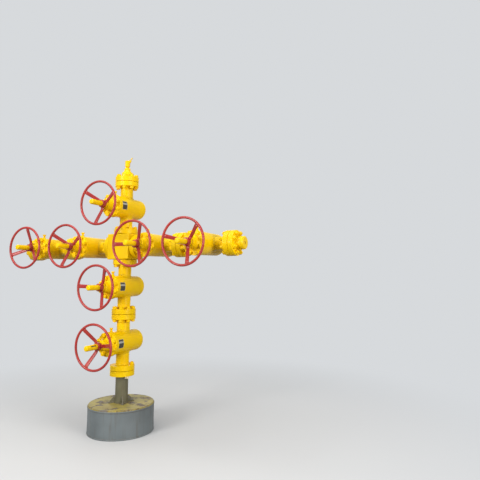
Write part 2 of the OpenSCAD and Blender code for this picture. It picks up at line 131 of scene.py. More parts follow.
def rounded(corners: Sequence[Corner], ring: bool = False) -> list[ProfilePoint]:
    """Rounds the corners of an outline and marks them.

    The outline runs anticlockwise round the material. Edges that stand out are marked as wear and
    hollow ones as grime and painted shade, and a point on each side of an arc keeps the mark beside its edge.

    Args:
        corners: The outline's corners.
        ring: Whether the outline closes on itself.

    Returns:
        The points of the finished outline.
    """
    corners = [(*corner, 0.0)[:3] for corner in corners]
    count = len(corners)
    spots = [Vector(corner[:2]) for corner in corners]
    reach = [0.0] * count
    for i, corner in enumerate(corners):
        if corner[2] > 0.0 and (ring or 0 < i < count - 1):
            opening = (spots[i - 1] - spots[i]).angle(spots[(i + 1) % count] - spots[i])
            reach[i] = corner[2] / math.tan(opening / 2)
    points: list[ProfilePoint] = []
    for i, corner in enumerate(corners):
        if reach[i] == 0.0:
            points.append(ProfilePoint(spots[i].x, spots[i].y))
            continue
        following = (i + 1) % count
        back, onward = spots[i - 1] - spots[i], spots[following] - spots[i]
        room = (back.length - reach[i - 1] - reach[i], onward.length - reach[following] - reach[i])
        back.normalize()
        onward.normalize()
        half = back.angle(onward) / 2
        centre = spots[i] + (back + onward).normalized() * corner[2] / math.sin(half)
        convex = back.x * onward.y - back.y * onward.x < 0.0
        wear = max(0.0, 1.0 - corner[2] / SOFT_EDGE) if convex else 0.0
        # Hollow corners are darkened: grime, and painted shade where the hollow shuts out light
        grime_and_shade = 0.0 if convex else 1.0
        before = spots[i] + back * (reach[i] + min(SUPPORT, 0.4 * room[0]))
        after = spots[i] + onward * (reach[i] + min(SUPPORT, 0.4 * room[1]))
        if room[0] > MERGE_DISTANCE:
            points.append(ProfilePoint(before.x, before.y))
        start = spots[i] + back * reach[i] - centre
        sweep = (math.pi - 2 * half) * (1.0 if convex else -1.0)
        for step in range(ARC_STEPS + 1):
            spot = centre + Matrix.Rotation(sweep * step / ARC_STEPS, 2) @ start
            points.append(ProfilePoint(spot.x, spot.y, wear, grime_and_shade))
        if room[1] > MERGE_DISTANCE:
            points.append(ProfilePoint(after.x, after.y))
    return points


class Form:
    """A mesh in the making whose vertices carry marks for worn paint and for grime and painted shade."""

    def __init__(self) -> None:
        """Starts an empty mesh."""
        self.bm = bmesh.new()
        self.wear = self.bm.verts.layers.float.new("wear")
        self.grime_and_shade = self.bm.verts.layers.float.new("grime_and_shade")

    def outline(self, points: Sequence[ProfilePoint], ring: bool) -> list:
        """Draws a marked outline in the XZ plane.

        Args:
            points: The points, with the radius along X and the height along Z.
            ring: Whether the last point joins the first.

        Returns:
            The new vertices and edges.
        """
        verts = []
        for point in points:
            vert = self.bm.verts.new((point.radius, 0.0, point.height))
            vert[self.wear] = point.wear
            vert[self.grime_and_shade] = point.grime_and_shade
            verts.append(vert)
        edges = [self.bm.edges.new(pair) for pair in zip(verts, verts[1:])]
        if ring:
            edges.append(self.bm.edges.new((verts[-1], verts[0])))
        return verts + edges

    def close(self) -> "Form":
        """Merges doubles and turns the faces outwards.

        Returns:
            This form.
        """
        bmesh.ops.remove_doubles(self.bm, verts=self.bm.verts, dist=MERGE_DISTANCE)
        bmesh.ops.recalc_face_normals(self.bm, faces=self.bm.faces)
        return self

    def add(self, other: "Form", place: Matrix | None = None) -> "Form":
        """Adds a copy of another form.

        Args:
            other: The form to copy.
            place: Where the copy goes.

        Returns:
            This form.
        """
        mesh = bpy.data.meshes.new("copy")
        other.bm.to_mesh(mesh)
        if place is not None:
            mesh.transform(place)
        self.bm.from_mesh(mesh)
        bpy.data.meshes.remove(mesh)
        return self

    def placed(self, place: Matrix) -> "Form":
        """Returns a copy of the form at a place."""
        return Form().add(self, place)

    def moved(self, change: Callable[[Vector], Vector]) -> "Form":
        """Moves every vertex.

        Args:
            change: Gives the new place of a vertex from its old one.

        Returns:
            This form.
        """
        for vert in self.bm.verts:
            vert.co = change(vert.co)
        return self

    def piece(self, name: str, finish: Finish, *replaces: str, body: str = "tree") -> bpy.types.Object:
        """Makes the form a finished piece of the model.

        Args:
            name: Name of the piece.
            finish: Its finish, whose material it gets.
            *replaces: The CAD nodes that it stands for.
            body: The CAD body that it rides on.

        Returns:
            The new object.
        """
        mesh = bpy.data.meshes.new(name)
        self.bm.to_mesh(mesh)
        self.bm.free()
        mesh.shade_smooth()
        mesh.set_sharp_from_angle(angle=SHARP_ANGLE)
        mesh.materials.append(finish.material)
        obj = linked(name, mesh)
        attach(obj, body)
        if replaces:
            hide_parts(*replaces)
        LOG.info("%s: %d faces", name, len(mesh.polygons))
        return obj


def verts_of(geometry: Sequence) -> list:
    """Returns the vertices among what an operator made."""
    return [item for item in geometry if isinstance(item, bmesh.types.BMVert)]


def lathe(corners: Sequence[Corner], steps: int = 72, ring: bool = False) -> Form:
    """Turns an outline about local Z.

    Args:
        corners: The outline's corners.
        steps: Steps of the full turn.
        ring: Whether the outline is closed, as that of a tube is.

    Returns:
        The turned form.
    """
    form = Form()
    geometry = form.outline(rounded(corners, ring), ring)
    bmesh.ops.spin(form.bm, geom=geometry, cent=(0, 0, 0), axis=(0, 0, 1), dvec=(0, 0, 0), angle=math.tau,
                   steps=steps, use_merge=True, use_duplicate=False)
    return form.close()


def solid(corners: Sequence[Corner], steps: int = 72) -> Form:
    """Turns a solid about local Z, from an outline that runs level to the axis at both of its ends."""
    return lathe([(0.0, corners[0][1]), *corners, (0.0, corners[-1][1])], steps)


def rod(radius: float, low: float, high: float, steps: int = 72, foot: float = 0.0,
        top: float = 0.0) -> Form:
    """Turns a solid round bar along local Z.

    Args:
        radius: Its radius.
        low: Height of its foot.
        high: Height of its top.
        steps: Steps of the full turn.
        foot: Rounding at the foot.
        top: Rounding at the top.

    Returns:
        The bar.
    """
    return solid([(radius, low, foot), (radius, high, top)], steps)


def bar_ring(radius: float, bar_d: float, height: float, steps: int, sides: int) -> Form:
    """Bends a round bar into a ring about local Z.

    Args:
        radius: Radius of the ring's centre line.
        bar_d: Diameter of the bar.
        height: Height of the ring.
        steps: Steps round the ring.
        sides: Sides of the bar.

    Returns:
        The ring.
    """
    form = Form()
    place = shift(radius, 0.0, height) @ ALONG_STEM
    made = bmesh.ops.create_circle(form.bm, segments=sides, radius=bar_d / 2, matrix=place)
    edges = list({edge for vert in made["verts"] for edge in vert.link_edges})
    bmesh.ops.spin(form.bm, geom=made["verts"] + edges, cent=(0, 0, 0), axis=(0, 0, 1), dvec=(0, 0, 0),
                   angle=math.tau, steps=steps, use_merge=True, use_duplicate=False)
    return form.close()


def plate(corners: Sequence[Corner], width: float, edge: float) -> Form:
    """Cuts a plate from an outline in the XZ plane, centred on Y.

    Args:
        corners: The outline's corners, with X as the radius and Z as the height.
        width: Thickness of the plate along Y.
        edge: Size of the bevel along its edges.

    Returns:
        The plate.
    """
    form = Form()
    verts = verts_of(form.outline(rounded(corners, True), True))
    for vert in verts:
        vert.co.y = -width / 2
        vert[form.wear] = 0.0
        vert[form.grime_and_shade] = 0.0
    face = form.bm.faces.new(verts)
    made = bmesh.ops.extrude_face_region(form.bm, geom=[face])
    bmesh.ops.translate(form.bm, verts=verts_of(made["geom"]), vec=(0.0, width, 0.0))
    form.close()
    rims = [e for e in form.bm.edges if abs(e.verts[0].co.y - e.verts[1].co.y) < MERGE_DISTANCE]
    softened(form, rims, edge)
    return form


def softened(form: Form, edges: list, size: float, segments: int = 2) -> None:
    """Bevels edges and marks them as worn.

    Args:
        form: The form that the edges belong to.
        edges: The edges.
        size: Width of the bevel.
        segments: Segments of the bevel.
    """
    made = bmesh.ops.bevel(form.bm, geom=edges, offset=size, offset_type="OFFSET", affect="EDGES",
                           segments=segments, profile=0.5, material=-1, clamp_overlap=True)
    for vert in made["verts"]:
        vert[form.wear] = 1.0


def block(size: Vector, edge: float, segments: int = 2, margin: float = 0.0) -> Form:
    """Makes a block with rounded edges, centred on the origin.

    Args:
        size: Lengths along X, Y and Z.
        edge: Size of the bevel.
        segments: Segments of the bevel.
        margin: Width of the strip beside the edges that may be worn, or zero for a small block.

    Returns:
        The block.
    """
    form = Form()
    bmesh.ops.create_cube(form.bm, size=1.0, matrix=Matrix.Diagonal((*size, 1.0)))
    softened(form, list(form.bm.edges), edge, segments)
    if margin > 0.0:
        flat = [face for face in form.bm.faces if max(abs(axis) for axis in face.normal) > 0.9999
                and face.calc_area() > (min(size) / 2) ** 2]
        bmesh.ops.inset_individual(form.bm, faces=flat, thickness=margin)
        for face in flat:
            for vert in face.verts:
                vert[form.wear] = 0.0
    return form.close()


def hexagon(across: float, height: float, foot: float = 0.0008) -> Form:
    """Makes a hexagonal nut or bolt head whose foot is at the origin.

    Its corners are turned off at the top, and it stands on a round washer face.

    Args:
        across: Distance across the flats.
        height: Height over all.
        foot: Height of the washer face.

    Returns:
        The hexagon.
    """
    form = Form()
    face_r = across * WASHER_FACE / 2
    made = bmesh.ops.create_circle(form.bm, segments=24, radius=face_r, cap_ends=True)
    rim = list(form.bm.edges)
    # The foot ring is darkened: grime, and painted shade where the nut meets its seat
    for vert in made["verts"]:
        vert[form.grime_and_shade] = 1.0

    def ring(radius_at: Callable[[float], float], height_at: Callable[[float], float], wear: float) -> None:
        """Extrudes the open rim to a new ring.

        Args:
            radius_at: Gives the ring's radius at an angle.
            height_at: Gives its height at a radius.
            wear: Its mark for worn paint.
        """
        nonlocal rim
        grown = bmesh.ops.extrude_edge_only(form.bm, edges=rim)["geom"]
        rim = [item for item in grown if isinstance(item, bmesh.types.BMEdge)]
        for vert in verts_of(grown):
            angle = math.atan2(vert.co.y, vert.co.x)
            radius = radius_at(angle)
            vert.co = Vector((radius * math.cos(angle), radius * math.sin(angle), height_at(radius)))
            vert[form.wear] = wear
            vert[form.grime_and_shade] = 0.0

    def on_flats(angle: float) -> float:
        """Returns the hexagon's radius at an angle, with the middle of a flat at zero."""
        return across / 2 / math.cos((angle + math.pi / 6) % (math.pi / 3) - math.pi / 6)

    ring(lambda angle: face_r, lambda radius: foot, 0.0)
    ring(on_flats, lambda radius: foot, 0.0)
    ring(on_flats, lambda radius: height - (radius - face_r) * math.tan(CORNER_SLOPE), 0.8)
    ring(lambda angle: face_r, lambda radius: height, 0.8)
    ring(lambda angle: face_r * 0.8, lambda radius: height, 0.0)
    bmesh.ops.contextual_create(form.bm, geom=rim)
    form.close()
    tall = [e for e in form.bm.edges if abs(e.verts[0].co.z - e.verts[1].co.z) > height * 0.5
            and e.verts[0].co.to_2d().length > across * 0.57]
    softened(form, tall, across * 0.04)
    return form


def threaded_end(diameter: float, length: float, pitch: float, depth: float = 0.45) -> Form:
    """Makes the end of a stud with its thread, starting at the origin.

    Args:
        diameter: Diameter over the thread.
        length: Length that stands out.
        pitch: Pitch of the thread.
        depth: Depth of the thread as a share of its pitch, which paint makes less.

    Returns:
        The stud's end.
    """
    crest, root = diameter / 2, diameter / 2 - pitch * depth
    corners: list[Corner] = [(0.0, -pitch), (crest, -pitch)]
    turns = int((length - 0.003) / pitch)
    for k in range(turns):
        z = k * pitch
        corners += [(crest, z), (root, z + 0.3 * pitch), (root, z + 0.5 * pitch), (crest, z + 0.8 * pitch)]
    corners += [(crest, turns * pitch), (crest - 0.002, length - 0.001, 0.001), (0.0, length)]
    return lathe(corners, steps=20)


def bead(path: Sequence[Vector], radius: float, closed: bool, seed: float = 0.0) -> Form:
    """Lays a weld bead with its ripples along a path.

    Args:
        path: Points of the path.
        radius: Radius of the bead.
        closed: Whether the path closes on itself.
        seed: Shifts the unevenness of the bead.

    Returns:
        The bead.
    """
    curve = bpy.data.curves.new("bead", "CURVE")
    curve.dimensions = "3D"
    curve.bevel_depth = radius
    curve.bevel_resolution = 2
    curve.use_fill_caps = not closed
    spline = curve.splines.new("POLY")
    spline.points.add(len(path) - 1)
    for point, spot in zip(spline.points, path):
        point.co = (*spot, 1.0)
    spline.use_cyclic_u = closed
    obj = linked("bead", curve)
    bpy.context.view_layer.update()
    mesh = bpy.data.meshes.new_from_object(obj.evaluated_get(bpy.context.evaluated_depsgraph_get()))
    form = Form()
    form.bm.from_mesh(mesh)
    bpy.data.objects.remove(obj)
    bpy.data.curves.remove(curve)
    bpy.data.meshes.remove(mesh)
    form.close()
    form.bm.normal_update()
    for vert in form.bm.verts:
        spot = vert.co + Vector((seed, seed, seed))
        swell = sum(share * noise.noise(spot * scale) for share, scale in BEAD_WAVES)
        vert.co += vert.normal * radius * swell
        vert[form.grime_and_shade] = BEAD_GRIME_AND_SHADE
    return form


def straight_path(start: Vector, end: Vector, count: int) -> list[Vector]:
    """Returns points spaced evenly from one point to another."""
    return [start.lerp(end, k / count) for k in range(count + 1)]


def circle_path(radius: float, height: float, count: int) -> list[Vector]:
    """Returns points on a level circle."""
    spots = [math.tau * k / count for k in range(count)]
    return [Vector((radius * math.cos(a), radius * math.sin(a), height)) for a in spots]


def carved(form: Form, cutter: Form) -> Form:
    """Cuts one form out of another.

    Args:
        form: The form that is cut, and used up.
        cutter: The form of the cut, and used up.

    Returns:
        What is left.
    """
    objects = []
    for part in (form, cutter):
        mesh = bpy.data.meshes.new("carve")
        part.bm.to_mesh(mesh)
        part.bm.free()
        objects.append(linked("carve", mesh))
    step = objects[0].modifiers.new("carve", "BOOLEAN")
    step.operation = "DIFFERENCE"
    step.solver = "EXACT"
    step.object = objects[1]
    bpy.context.view_layer.update()
    mesh = bpy.data.meshes.new_from_object(objects[0].evaluated_get(bpy.context.evaluated_depsgraph_get()))
    result = Form()
    result.bm.from_mesh(mesh)
    bpy.data.meshes.remove(mesh)
    for obj in objects:
        used = obj.data
        bpy.data.objects.remove(obj)
        bpy.data.meshes.remove(used)
    return result.close()


# Materials


class NodeSheet:
    """Puts nodes on a tree and joins them."""

    def __init__(self, tree: bpy.types.NodeTree) -> None:
        """Takes the tree to work on."""
        self.tree = tree

    def put(self, kind: str, wires: Mapping[str | int, object] | None = None,
            **settings: object) -> bpy.types.Node:
        """Adds a node.

        Args:
            kind: Blender's name of the node type.
            wires: A value or the socket to join, for each of its inputs.
            **settings: Its other properties.

        Returns:
            The node.
        """
        node = self.tree.nodes.new(kind)
        for key, value in settings.items():
            setattr(node, key, value)
        for key, value in (wires or {}).items():
            if isinstance(value, bpy.types.NodeSocket):
                self.tree.links.new(value, node.inputs[key])
            else:
                node.inputs[key].default_value = value
        return node

    def math(self, operation: str, first: object, second: object) -> bpy.types.NodeSocket:
        """Returns the result of a math node."""
        return self.put("ShaderNodeMath", {0: first, 1: second}, operation=operation).outputs[0]

    def plus(self, first: object, second: object) -> bpy.types.NodeSocket:
        """Returns the sum of two values."""
        return self.math("ADD", first, second)

    def minus(self, first: object, second: object) -> bpy.types.NodeSocket:
        """Returns the first value less the second."""
        return self.math("SUBTRACT", first, second)

    def times(self, first: object, second: object) -> bpy.types.NodeSocket:
        """Returns the product of two values."""
        return self.math("MULTIPLY", first, second)

    def most(self, first: object, second: object) -> bpy.types.NodeSocket:
        """Returns the greater of two values."""
        return self.math("MAXIMUM", first, second)

    def ramp(self, value: object, low: object, high: object, to_low: object = 0.0,
             to_high: object = 1.0) -> bpy.types.NodeSocket:
        """Returns a value eased from one range to another."""
        wires = {0: value, 1: low, 2: high, 3: to_low, 4: to_high}
        return self.put("ShaderNodeMapRange", wires, interpolation_type="SMOOTHSTEP").outputs[0]

    def mix(self, factor: object, first: object, second: object) -> bpy.types.NodeSocket:
        """Returns a mix of two colours."""
        return self.put("ShaderNodeMix", {0: factor, 6: first, 7: second}, data_type="RGBA").outputs[2]

    def noise(self, where: object, scale: object, detail: float = 3.0,
              roughness: float = 0.5) -> bpy.types.NodeSocket:
        """Returns the value of a noise texture."""
        wires = {"Vector": where, "Scale": scale, "Detail": detail, "Roughness": roughness}
        return self.put("ShaderNodeTexNoise", wires).outputs[0]

    def object_place(self) -> bpy.types.NodeSocket:
        """Returns the Object coordinates."""
        return self.put("ShaderNodeTexCoord").outputs["Object"]

    def attribute(self, name: str) -> bpy.types.NodeSocket:
        """Returns the value of a vertex mark."""
        return self.put("ShaderNodeAttribute", attribute_name=name).outputs["Fac"]

    def surface(self, color: object, roughness: object, height: object, more: Mapping[str, object]) -> None:
        """Ends a material with its shader.

        Args:
            color: Base colour.
            roughness: Roughness.
            height: Height of the relief, in metres.
            more: The shader's other inputs.
        """
        bump = self.put("ShaderNodeBump", {"Strength": 1.0, "Distance": 1.0, "Height": height})
        wires = {"Base Color": color, "Roughness": roughness, "Normal": bump.outputs[0], **more}
        shader = self.put("ShaderNodeBsdfPrincipled", wires)
        self.put("ShaderNodeOutputMaterial", {"Surface": shader.outputs[0]})


def new_material(name: str) -> tuple[bpy.types.Material, NodeSheet]:
    """Starts a material.

    Args:
        name: Its name.

    Returns:
        The material, without nodes, and its sheet.
    """
    material = bpy.data.materials.new(name)
    material.use_nodes = True
    material.node_tree.nodes.clear()
    return material, NodeSheet(material.node_tree)


class Effect(Enum):
    """Surface effects that more than one finish uses."""

    TONE = "paint_tone"
    WEAR = "edge_wear"
    # Grime, and painted shade, in marked hollows
    GRIME_AND_SHADE = "grime_and_shade_in_hollows"
    DUST = "dust_on_top"
    SKIN = "paint_skin"
    STREAKS = "run_down_streaks"


FLOAT, COLOR = "NodeSocketFloat", "NodeSocketColor"
MASK_INPUTS = {"Amount": FLOAT, "Scale": FLOAT}


def effect_tree(effect: Effect, inputs: Mapping[str, str] = MASK_INPUTS,
                output: tuple[str, str] = ("Mask", FLOAT)) -> tuple[NodeSheet, Mapping, Callable]:
    """Starts a node group.

    Args:
        effect: The effect that it makes.
        inputs: Type of each input.
        output: Name and type of its output.

    Returns:
        Its sheet, its input sockets by name and a function that joins a socket to its output.
    """
    tree = bpy.data.node_groups.new(effect.value, "ShaderNodeTree")
    for name, kind in inputs.items():
        tree.interface.new_socket(name=name, in_out="INPUT", socket_type=kind)
    tree.interface.new_socket(name=output[0], in_out="OUTPUT", socket_type=output[1])
    sheet = NodeSheet(tree)
    entry = sheet.put("NodeGroupInput")
    way_out = sheet.put("NodeGroupOutput")
    return sheet, entry.outputs, lambda socket: tree.links.new(socket, way_out.inputs[0])


def make_tone() -> None:
    """Makes the group that varies a paint's tone in broad patches."""
    inputs = {"Color": COLOR, "Scale": FLOAT, "Spread": FLOAT}
    sheet, given, send = effect_tree(Effect.TONE, inputs, ("Color", COLOR))
    where = sheet.object_place()
    patches = sheet.noise(where, given["Scale"], 2.0)
    low = sheet.minus(1.0, given["Spread"])
    high = sheet.plus(1.0, given["Spread"])
    value = sheet.ramp(patches, 0.3, 0.7, low, high)
    finer = sheet.noise(where, sheet.times(given["Scale"], 3.1), 3.0)
    hue = sheet.ramp(finer, 0.25, 0.75, 0.496, 0.503)
    node = sheet.put("ShaderNodeHueSaturation", {"Hue": hue, "Value": value, "Color": given["Color"]})
    send(node.outputs[0])


def make_wear() -> None:
    """Makes the group that chips paint along marked edges."""
    sheet, given, send = effect_tree(Effect.WEAR)
    chips = sheet.noise(sheet.object_place(), given["Scale"], 5.0, 0.65)
    marked = sheet.attribute("wear")
    level = sheet.plus(sheet.times(marked, 0.55), chips)
    threshold = sheet.minus(1.28, sheet.times(given["Amount"], 0.5))
    edge = sheet.ramp(level, threshold, sheet.plus(threshold, 0.05))
    send(sheet.times(edge, sheet.ramp(marked, 0.1, 0.5)))


def make_grime_and_shade() -> None:
    """Makes the group that darkens marked hollows with grime and painted shade."""
    sheet, given, send = effect_tree(Effect.GRIME_AND_SHADE)
    clouds = sheet.noise(sheet.object_place(), given["Scale"], 4.0, 0.6)
    level = sheet.times(sheet.attribute("grime_and_shade"), sheet.ramp(clouds, 0.3, 0.65, 0.25, 1.0))
    send(sheet.times(level, given["Amount"]))


def make_dust() -> None:
    """Makes the group that lays dust on faces that look up."""
    sheet, given, send = effect_tree(Effect.DUST)
    normal = sheet.put("ShaderNodeNewGeometry").outputs["Normal"]
    upward = sheet.put("ShaderNodeSeparateXYZ", {0: normal}).outputs[2]
    clouds = sheet.noise(sheet.object_place(), given["Scale"], 5.0, 0.7)
    level = sheet.times(sheet.ramp(upward, 0.35, 1.0), sheet.ramp(clouds, 0.3, 0.7, 0.3, 1.0))
    send(sheet.times(level, given["Amount"]))


def make_skin() -> None:
    """Makes the group that gives a paint's relief: orange peel over the texture of a casting."""
    sheet, given, send = effect_tree(Effect.SKIN, {"Peel": FLOAT, "Casting": FLOAT}, ("Height", FLOAT))
    where = sheet.object_place()
    peel = sheet.times(sheet.noise(where, 420.0, 1.0), given["Peel"])
    grit = sheet.times(sheet.noise(where, 95.0, 3.0, 0.6), given["Casting"])
    swell = sheet.times(sheet.noise(where, 14.0, 2.0), sheet.times(given["Casting"], 4.0))
    send(sheet.plus(sheet.plus(peel, grit), swell))


def make_streaks() -> None:
    """Makes the group that draws streaks running down."""
    sheet, given, send = effect_tree(Effect.STREAKS)
    where = sheet.put("ShaderNodeMapping", {"Vector": sheet.object_place(), "Scale": (1.0, 1.0, 0.06)})
    lines = sheet.noise(where.outputs[0], given["Scale"], 4.0, 0.6)
    send(sheet.times(sheet.ramp(lines, 0.52, 0.72), given["Amount"]))


def make_effects() -> None:
    """Makes every shared node group."""
    for maker in (make_tone, make_wear, make_grime_and_shade, make_dust, make_skin, make_streaks):
        maker()


def use_effect(sheet: NodeSheet, effect: Effect, **values: object) -> bpy.types.NodeSocket:
    """Places a shared group on a material.

    Args:
        sheet: The material's sheet.
        effect: The group.
        **values: Its inputs, with their names in small letters.

    Returns:
        Its output.
    """
    node = sheet.put("ShaderNodeGroup", node_tree=bpy.data.node_groups[effect.value])
    for name, value in values.items():
        socket = node.inputs[name.capitalize()]
        if isinstance(value, bpy.types.NodeSocket):
            sheet.tree.links.new(value, socket)
        else:
            socket.default_value = value
    return node.outputs[0]


@dataclass(frozen=True)
class Paint:
    """A coat of paint over steel.

    Amounts run from 0 to 1, and heights of the relief are in metres.
    """

    name: str
    color: Rgb
    under: Rgb = (0.17, 0.16, 0.15)
    # Colour of dirt in streaks, and of grime with painted shade in hollows
    dirt_and_shade: Rgb = (0.09, 0.065, 0.03)
    dust: Rgb = (0.42, 0.38, 0.30)
    roughness: float = 0.3
    coat: float = 0.35
    specular: float = 0.5
    tone_scale: float = 3.0
    tone_spread: float = 0.06
    wear: float = 0.3
    wear_scale: float = 60.0
    # Amount of grime and painted shade in hollows
    grime_and_shade: float = 0.5
    dusting: float = 0.1
    streaks: float = 0.1
    peel: float = 0.00004
    casting: float = 0.0001
    chip_depth: float = 0.0002

    def tone(self, sheet: NodeSheet) -> bpy.types.NodeSocket:
        """Returns the colour of the sound paint."""
        return use_effect(sheet, Effect.TONE, color=(*self.color, 1.0), scale=self.tone_scale,
                          spread=self.tone_spread)

    def relief(self, sheet: NodeSheet, bare: object) -> bpy.types.NodeSocket:
        """Returns the height of the surface, which is lower where a mask bares it."""
        height = use_effect(sheet, Effect.SKIN, peel=self.peel, casting=self.casting)
        return sheet.minus(height, sheet.times(bare, self.chip_depth))

    def build(self) -> Finish:
        """Makes the material.

        Returns:
            The finish.
        """
        material, sheet = new_material(self.name)
        color = self.tone(sheet)
        streaks = use_effect(sheet, Effect.STREAKS, amount=self.streaks, scale=26.0)
        # Hollows darken with grime and painted shade
        grime_and_shade = use_effect(sheet, Effect.GRIME_AND_SHADE, amount=self.grime_and_shade, scale=22.0)
        dust = use_effect(sheet, Effect.DUST, amount=self.dusting, scale=9.0)
        chips = use_effect(sheet, Effect.WEAR, amount=self.wear, scale=self.wear_scale)
        dirt_and_shade = (*self.dirt_and_shade, 1.0)
        color = sheet.mix(streaks, color, dirt_and_shade)
        color = sheet.mix(grime_and_shade, color, dirt_and_shade)
        color = sheet.mix(dust, color, (*self.dust, 1.0))
        color = sheet.mix(chips, color, (*self.under, 1.0))
        smudges = sheet.ramp(sheet.noise(sheet.object_place(), 12.0, 4.0, 0.6), 0.3, 0.75,
                             self.roughness, self.roughness + 0.16)
        dull = sheet.most(grime_and_shade, sheet.most(dust, chips))
        roughness = sheet.plus(smudges, sheet.times(dull, 0.3))
        gloss = sheet.times(sheet.minus(1.0, dull), self.coat)
        sheet.surface(color, roughness, self.relief(sheet, chips), {
            "Coat Weight": gloss, "Coat Roughness": 0.12, "Specular IOR Level": self.specular,
        })
        return Finish(self.name, material)


@dataclass(frozen=True)
class WornPlate(Paint):
    """Paint on a deck plate, scuffed off in patches down to rusty steel."""

    chip_depth: float = 0.0003
    rust: Rgb = (0.10, 0.055, 0.03)
    bare: float = 0.45

    def build(self) -> Finish:
        """Makes the material.

        Returns:
            The finish.
        """
        material, sheet = new_material(self.name)
        where = sheet.object_place()
        color = self.tone(sheet)
        patches = sheet.ramp(sheet.noise(where, 9.0, 7.0, 0.68), 0.53 - 0.1 * self.bare, 0.60)
        specks = sheet.ramp(sheet.noise(where, 75.0, 4.0, 0.7), 0.60, 0.68)
        worn = sheet.most(patches, sheet.times(specks, 0.8))
        chips = use_effect(sheet, Effect.WEAR, amount=self.wear, scale=self.wear_scale)
        worn = sheet.most(worn, chips)
        rusted = sheet.ramp(sheet.noise(where, 30.0, 5.0), 0.4, 0.6)
        metal = sheet.mix(rusted, (*self.under, 1.0), (*self.rust, 1.0))
        dust = use_effect(sheet, Effect.DUST, amount=self.dusting, scale=7.0)
        color = sheet.mix(worn, color, metal)
        color = sheet.mix(dust, color, (*self.dust, 1.0))
        # Hollows darken with grime and painted shade
        grime_and_shade = use_effect(sheet, Effect.GRIME_AND_SHADE, amount=self.grime_and_shade, scale=22.0)
        color = sheet.mix(grime_and_shade, color, (*self.dirt_and_shade, 1.0))
        roughness = sheet.ramp(worn, 0.0, 1.0, self.roughness, 0.75)
        sheet.surface(color, roughness, self.relief(sheet, worn), {})
        return Finish(self.name, material)


@dataclass(frozen=True)
class Metal:
    """Bare metal with fine scratches, a film of oil or grime, and painted shade in its hollows."""

    name: str
    color: Rgb
    film_and_shade: Rgb = (0.05, 0.04, 0.03)
    filmed: float = 0.3
    roughness: float = 0.35
    brushed: float = 0.00003

    def build(self) -> Finish:
        """Makes the material.

        Returns:
            The finish.
        """
        material, sheet = new_material(self.name)
        where = sheet.object_place()
        film_and_shade = sheet.ramp(sheet.noise(where, 40.0, 4.0, 0.6), 0.45, 0.75, 0.0, self.filmed)
        # Hollows darken too: grime and painted shade
        film_and_shade = sheet.most(film_and_shade, use_effect(sheet, Effect.GRIME_AND_SHADE, amount=0.8, scale=30.0))
        color = sheet.mix(film_and_shade, (*self.color, 1.0), (*self.film_and_shade, 1.0))
        metallic = sheet.minus(1.0, film_and_shade)
        roughness = sheet.ramp(sheet.noise(where, 55.0, 4.0), 0.3, 0.7, self.roughness, self.roughness + 0.2)
        height = sheet.times(sheet.noise(where, 600.0, 2.0), self.brushed)
        sheet.surface(color, roughness, height, {"Metallic": metallic})
        return Finish(self.name, material)


@dataclass
class Finishes:
    """Every finish of the object."""

    yellow: Finish = field(init=False)
    red: Finish = field(init=False)
    pipe: Finish = field(init=False)
    drum: Finish = field(init=False)
    deck: Finish = field(init=False)
    steel: Finish = field(init=False)
    zinc: Finish = field(init=False)
    tag: Finish = field(init=False)
    tag_edge: Finish = field(init=False)

    def __post_init__(self) -> None:
        """Builds the materials."""
        make_effects()
        self.yellow = Paint("yellow_enamel", (0.90, 0.60, 0.001), wear=0.05, grime_and_shade=0.22, dusting=0.0,
                            streaks=0.02, roughness=0.35, coat=0.04, specular=0.13).build()
        self.red = Paint("red_enamel", (0.38, 0.026, 0.020), wear=0.15, casting=0.00002, dusting=0.03,
                         roughness=0.33, coat=0.15, specular=0.4, tone_scale=6.0, tone_spread=0.1).build()
        self.pipe = Paint("pipe_paint", (0.115, 0.11, 0.062), wear=0.4, roughness=0.5, coat=0.05, grime_and_shade=0.8,
                          streaks=0.45, dusting=0.3, tone_scale=7.0, tone_spread=0.16).build()
        self.drum = Paint("drum_paint", (0.13, 0.155, 0.165), wear=0.6, roughness=0.5, coat=0.05, grime_and_shade=0.8,
                          streaks=0.35, dusting=0.3, casting=0.00004, tone_scale=4.0,
                          tone_spread=0.14).build()
        self.deck = WornPlate("plate_paint", (0.38, 0.31, 0.05), wear=0.8, roughness=0.55, dusting=0.15,
                              tone_scale=8.0, tone_spread=0.16).build()
        self.steel = Metal("stem_steel", (0.42, 0.41, 0.40), filmed=0.55).build()
        self.zinc = Metal("zinc_plate", (0.66, 0.58, 0.38), roughness=0.4, filmed=0.1).build()
        self.tag = Paint("tag_field", (0.035, 0.03, 0.022), roughness=0.4, coat=0.0, wear=0.0, dusting=0.0,
                         casting=0.0).build()
        self.tag_edge = Metal("tag_metal", (0.50, 0.49, 0.44), roughness=0.5, filmed=0.3).build()


# Fasteners


